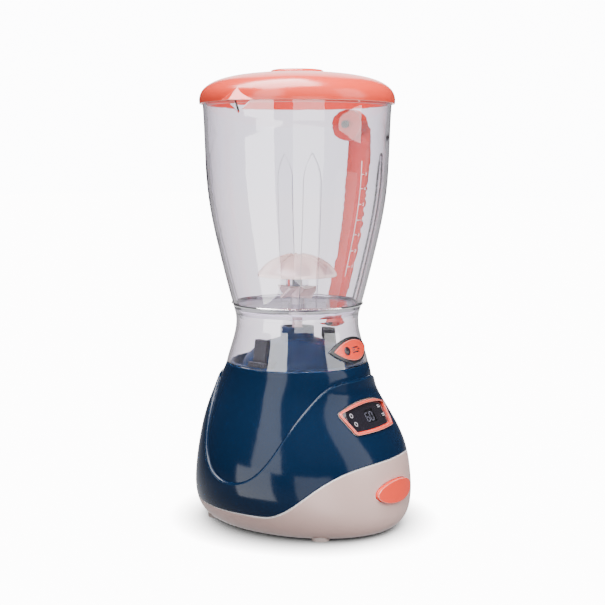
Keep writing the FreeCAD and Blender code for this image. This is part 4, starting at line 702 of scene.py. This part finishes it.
# The cap is only a millimetre thick between its ribs: there it passes light and reads as darker arches.
cap_abs, place = start_material("beige_abs_thin_moulded")
axes = add(cap_abs, "SeparateXYZ", {"Vector": (place, "Object")})
turn = add(cap_abs, "Math", {0: (axes, "Y"), 1: (axes, "X")}, operation="ARCTAN2")
spread = add(cap_abs, "Math", {0: (turn, 0), 1: float(cap_arch_count)}, operation="MULTIPLY")
wave = add(cap_abs, "Math", {0: (spread, 0)}, operation="COSINE")
arch = add(cap_abs, "MapRange", {"Value": (wave, 0), "From Min": -0.35, "From Max": 0.15})
rise = add(cap_abs, "MapRange", {
    "Value": (axes, "Z"), "From Min": cap_arch_low, "From Max": cap_arch_low + arch_low_fade})
fall = add(cap_abs, "MapRange", {
    "Value": (axes, "Z"), "From Min": cap_arch_high, "From Max": cap_arch_high - arch_high_fade})
between = add(cap_abs, "Math", {0: (rise, 0), 1: (fall, 0)}, operation="MULTIPLY")
thin = add(cap_abs, "Math", {0: (arch, 0), 1: (between, 0)}, operation="MULTIPLY")
grain = add(cap_abs, "TexNoise", {"Vector": (place, "Object"), "Scale": 1400.0, "Detail": 3.0})
mottled = add(cap_abs, "MapRange", {"Value": (grain, "Fac"), "To Min": 0.6, "To Max": 1.0})
shade = add(cap_abs, "Math", {0: (thin, 0), 1: (mottled, 0)}, operation="MULTIPLY")
tint = add(cap_abs, "Mix", {0: (shade, 0), 6: linear("#d9c3b6"), 7: linear("#a98a84")}, data_type="RGBA")
edge = add(cap_abs, "Bevel", {"Radius": 0.0004}, samples=8)
polish = add(cap_abs, "MapRange", {"Value": (grain, "Fac"), "To Min": 0.22, "To Max": 0.34})
shader = add(cap_abs, "BsdfPrincipled", {
    "Base Color": (tint, 2), "Roughness": (polish, 0), "Normal": (edge, 0), "IOR": 1.53})
dress(finish_material(cap_abs, shader), "impeller_cap")

# ---- Marks on the window and on the badge -----------------------------------------------------------
# The window carries a few printed ring and bar signs beside the screen, and the badge a dark dot with three
# bars. They are plain marks with no wording.
window_front = Vector((0.0, -0.05736, 0.0736))
sign_inset = 0.0004
window_centre = window_front - Vector(out) * sign_inset
sign_thickness = 0.00008
sign_lift = 0.00001


def ring_outlines(centre, outer, inner, corners):
    """Quads that make a flat ring: the outer and inner circle at each pair of angles."""
    angle = np.linspace(0, 2 * math.pi, corners + 1)
    circle = np.stack([np.cos(angle), np.sin(angle)], axis=1)
    near, far = circle[:-1], circle[1:]
    return np.stack([near * inner, near * outer, far * outer, far * inner], axis=1) + centre


def bar_outlines(*bars):
    """Quads for bars given as (x, y, half width, half height)."""
    return np.array([[(x - w, y - h), (x + w, y - h), (x + w, y + h), (x - w, y + h)]
                     for x, y, w, h in bars])


ring_size = (0.0016, 0.0010, 20)
signs = np.vstack([
    ring_outlines((-0.0190, 0.0037), *ring_size), ring_outlines((-0.0183, -0.0022), *ring_size),
    bar_outlines((0.0128, 0.0052, 0.0009, 0.0003), (0.0132, 0.0041, 0.0013, 0.0003),
                 (0.0138, -0.0010, 0.0014, 0.0003), (0.0134, -0.0021, 0.0008, 0.0003),
                 (0.0147, -0.0021, 0.0003, 0.0003))])
flat, faces = slabs(signs, sign_thickness)
printed = (np.array(window_centre) + flat[:, :1] * right + flat[:, 1:2] * up
           + (flat[:, 2:] + sign_lift) * out)
# Screen ink: pale grey and translucent, lit a little by the resin lights behind it.
screen_ink = glowing("pale_screen_ink", "#a5a0a6", 0.5, 0.5)
piece("display_signs", printed, faces, screen_ink, "base").data.shade_flat()

badge_level = 0.1145
bar_pitch = 0.0014
badge_dot = (0.0026, 0.0, 24)
ink_lift = 0.00004
ink_thickness = 0.00012
marks = np.vstack([ring_outlines((-0.0072, badge_level), *badge_dot),
                   bar_outlines((0.0012, badge_level + bar_pitch, 0.0032, 0.0004),
                                (0.0022, badge_level, 0.0042, 0.0004),
                                (0.0012, badge_level - bar_pitch, 0.0032, 0.0004))])
points = np.stack([marks[..., 0], np.full(marks.shape[:2], drawing_plane), marks[..., 1]], axis=-1)
corner = np.arange(len(points) * 4).reshape(-1, 4)
# Pad-printed ink: dark grey with a slight shine.
# Its edge colour is a painted highlight.
pad_ink = moulded("dark_pad_ink", "#33282c", "#2b2226", "#4a3d42", 0.4, 0.4, 0.1, 0.3, 0.1)
badge_mark = piece("badge_mark", points, corner, pad_ink, "jug")
laid_on(badge_mark, "badge_plate", ink_lift, ink_thickness)

# ---- Floor, lights, camera --------------------------------------------------------------------------
# A white paper sweep that runs past the view, tall cards that only show in the gloss, softboxes for the body
# of the light, and the camera a little above the jug's middle.
sheet_reach = 6.0
floor_mesh = bpy.data.meshes.new("floor")
sheet_corners = np.array([(-1, -1, 0), (1, -1, 0), (1, 1, 0), (-1, 1, 0)]) * sheet_reach
floor_mesh.from_pydata(sheet_corners.tolist(), [], [(0, 1, 2, 3)])
floor = bpy.data.objects.new("floor", floor_mesh)
bpy.context.scene.collection.objects.link(floor)
# White paper: brightly lit from below for the eye, but plain grey paper for the light that it throws back.
# Each level is for one kind of ray: seen directly, seen through a clear wall, or seen any other way.
floor_seen = 12.4
behind_clear = 1.6
floor_otherwise = 0.85
contact_reach = 0.024
contact_darkness = 2.3
floor_paint, _ = start_material("white_studio_paper")
# Ambient occlusion dims the floor's glow near the base: a painted contact shadow.
contact = add(floor_paint, "AmbientOcclusion", {"Distance": contact_reach}, samples=12)
painted_contact_shadow = add(floor_paint, "Math", {0: (contact, "AO"), 1: contact_darkness}, operation="POWER")
ray = add(floor_paint, "LightPath")
unmirrored = add(floor_paint, "Math", {0: (ray, "Glossy Depth"), 1: 0.5}, operation="LESS_THAN")
through = add(floor_paint, "Math", {
    0: (ray, "Is Transmission Ray"), 1: (unmirrored, 0)}, operation="MULTIPLY")
behind = add(floor_paint, "Math", {
    0: (through, 0), 1: behind_clear, 2: floor_otherwise}, operation="MULTIPLY_ADD")
level = add(floor_paint, "Math", {
    0: (ray, "Is Camera Ray"), 1: floor_seen, 2: (behind, 0)}, operation="MULTIPLY_ADD")
glow = add(floor_paint, "Math", {0: (painted_contact_shadow, 0), 1: (level, 0)}, operation="MULTIPLY")
lit = add(floor_paint, "Emission", {"Color": linear("#fffdfd"), "Strength": (glow, 0)})
paper = add(floor_paint, "BsdfDiffuse", {"Color": linear("#8c8989")})
sheet = add(floor_paint, "MixShader", {"Fac": (ray, "Is Diffuse Ray"), 1: (lit, 0), 2: (paper, 0)})
floor_mesh.materials.append(finish_material(floor_paint, sheet))
# Gloss looks through the floor to the cards below it, which stand for the low reflectors of a studio.
floor.visible_glossy = False
floor.visible_shadow = False

# The room has its own levels for the same kinds of ray.
room_seen = 13.0
room_refracted = 0.75
room_light = 0.22
above_horizon = 0.1
below_horizon = 0.9
world = bpy.data.worlds.new("studio")
bpy.context.scene.world = world
world.use_nodes = True
world.node_tree.nodes.clear()
ray = add(world, "LightPath")
unmirrored = add(world, "Math", {0: (ray, "Glossy Depth"), 1: 0.5}, operation="LESS_THAN")
through = add(world, "Math", {0: (ray, "Is Transmission Ray"), 1: (unmirrored, 0)}, operation="MULTIPLY")
# Gloss sees a dim room above the horizon and a brighter floor below it.
aim = add(world, "TexCoord")
rise = add(world, "SeparateXYZ", {"Vector": (aim, "Generated")})
horizon = add(world, "MapRange", {"Value": (rise, "Z"), "From Min": -0.05, "From Max": -0.35,
                                  "To Min": above_horizon, "To Max": below_horizon})
refracted = add(world, "Math", {0: (ray, "Is Transmission Ray"), 1: room_refracted}, operation="MULTIPLY")
gloss = add(world, "Math", {
    0: (ray, "Is Glossy Ray"), 1: (horizon, 0), 2: (refracted, 0)}, operation="MULTIPLY_ADD")
dim = add(world, "Math", {0: (through, 0), 1: behind_clear, 2: (gloss, 0)}, operation="MULTIPLY_ADD")
room = add(world, "Math", {0: (ray, "Is Diffuse Ray"), 1: room_light, 2: (dim, 0)}, operation="MULTIPLY_ADD")
sky = add(world, "Math", {0: (ray, "Is Camera Ray"), 1: room_seen, 2: (room, 0)}, operation="MULTIPLY_ADD")
sweep = add(world, "Background", {"Color": linear("#fcfcff"), "Strength": (sky, 0)})
add(world, "OutputWorld", {"Surface": (sweep, 0)})


def lamp(name, light, place, aim, shines):
    """Sets a light at a place, aimed at a point. It lights surfaces if shines, and otherwise only shows in
    their gloss. The camera and clear walls never see it."""
    made = bpy.data.objects.new(name, light)
    bpy.context.scene.collection.objects.link(made)
    made.location = place
    made.rotation_euler = (Vector(aim) - Vector(place)).to_track_quat("-Z", "Y").to_euler()
    made.visible_camera = False
    made.visible_diffuse = shines
    made.visible_glossy = not shines
    made.visible_transmission = False


def rectangle(name, width, height, radiance):
    """A rectangular area light; its watts are radiance x area x pi."""
    light = bpy.data.lights.new(name, "AREA")
    light.shape = "RECTANGLE"
    light.size = width
    light.size_y = height
    light.energy = radiance * width * height * math.pi
    return light


card_distance = 1.3


def card(name, first, last, low, high, radiance):
    """An upright card for the gloss, between two compass angles and two heights, facing the axis."""
    middle, half = math.radians((first + last) / 2), math.radians((last - first) / 2)
    level = (low + high) / 2
    place = (card_distance * math.cos(middle), card_distance * math.sin(middle), level)
    light = rectangle(name, 2 * card_distance * math.tan(half), high - low, radiance)
    lamp(name, light, place, (0, 0, level), False)


# Cards for the gloss: the upper ones show in the base and the dome, the lower ones in the flared jug.
card("left_upper_card", 167, 199, 0.2, 1.5, 12.0)
card("right_upper_card", 266, 298, 0.2, 1.5, 8.0)
card("left_lower_card", 151, 189, -0.7, 0.2, 13.0)
card("front_lower_card", 211, 248, -0.7, 0.2, 7.0)
card("right_lower_card", 264, 294, -0.7, 0.1, 1.5)
part_middle = (0, 0, 0.15)
lamp("top_card", rectangle("top_card", 1.1, 1.1, 44.0), (-0.25, 0.15, 1.3), part_middle, False)
card("back_card", 20, 50, -0.7, 1.5, 3.0)
# Softboxes for the body of the light.
for name, size, radiance, place in (("key_softbox", 1.2, 6.3, (-0.42, -0.9, 0.98)),
                                    ("fill_softbox", 1.2, 1.2, (-1.16, -0.2, 0.7)),
                                    ("top_softbox", 1.1, 7.5, (-0.1, 0.05, 1.35)),
                                    ("back_softbox", 1.2, 2.6, (0.95, 0.75, 0.95))):
    lamp(name, rectangle(name, size, size, radiance), place, part_middle, True)

# The camera looks down by camera_dip and is turned to camera_heading about Z.
camera_dip = 0.1221
camera_heading = math.radians(-54.25)
camera_data = bpy.data.cameras.new("camera")
camera_data.lens = 68.6
camera_data.sensor_width = 36.0
camera_data.clip_start = 0.02
camera = bpy.data.objects.new("camera", camera_data)
camera.location = (-0.604, -0.439, 0.233)
camera.rotation_euler = (math.pi / 2 - camera_dip, 0, camera_heading)
bpy.context.scene.collection.objects.link(camera)
bpy.context.scene.camera = camera
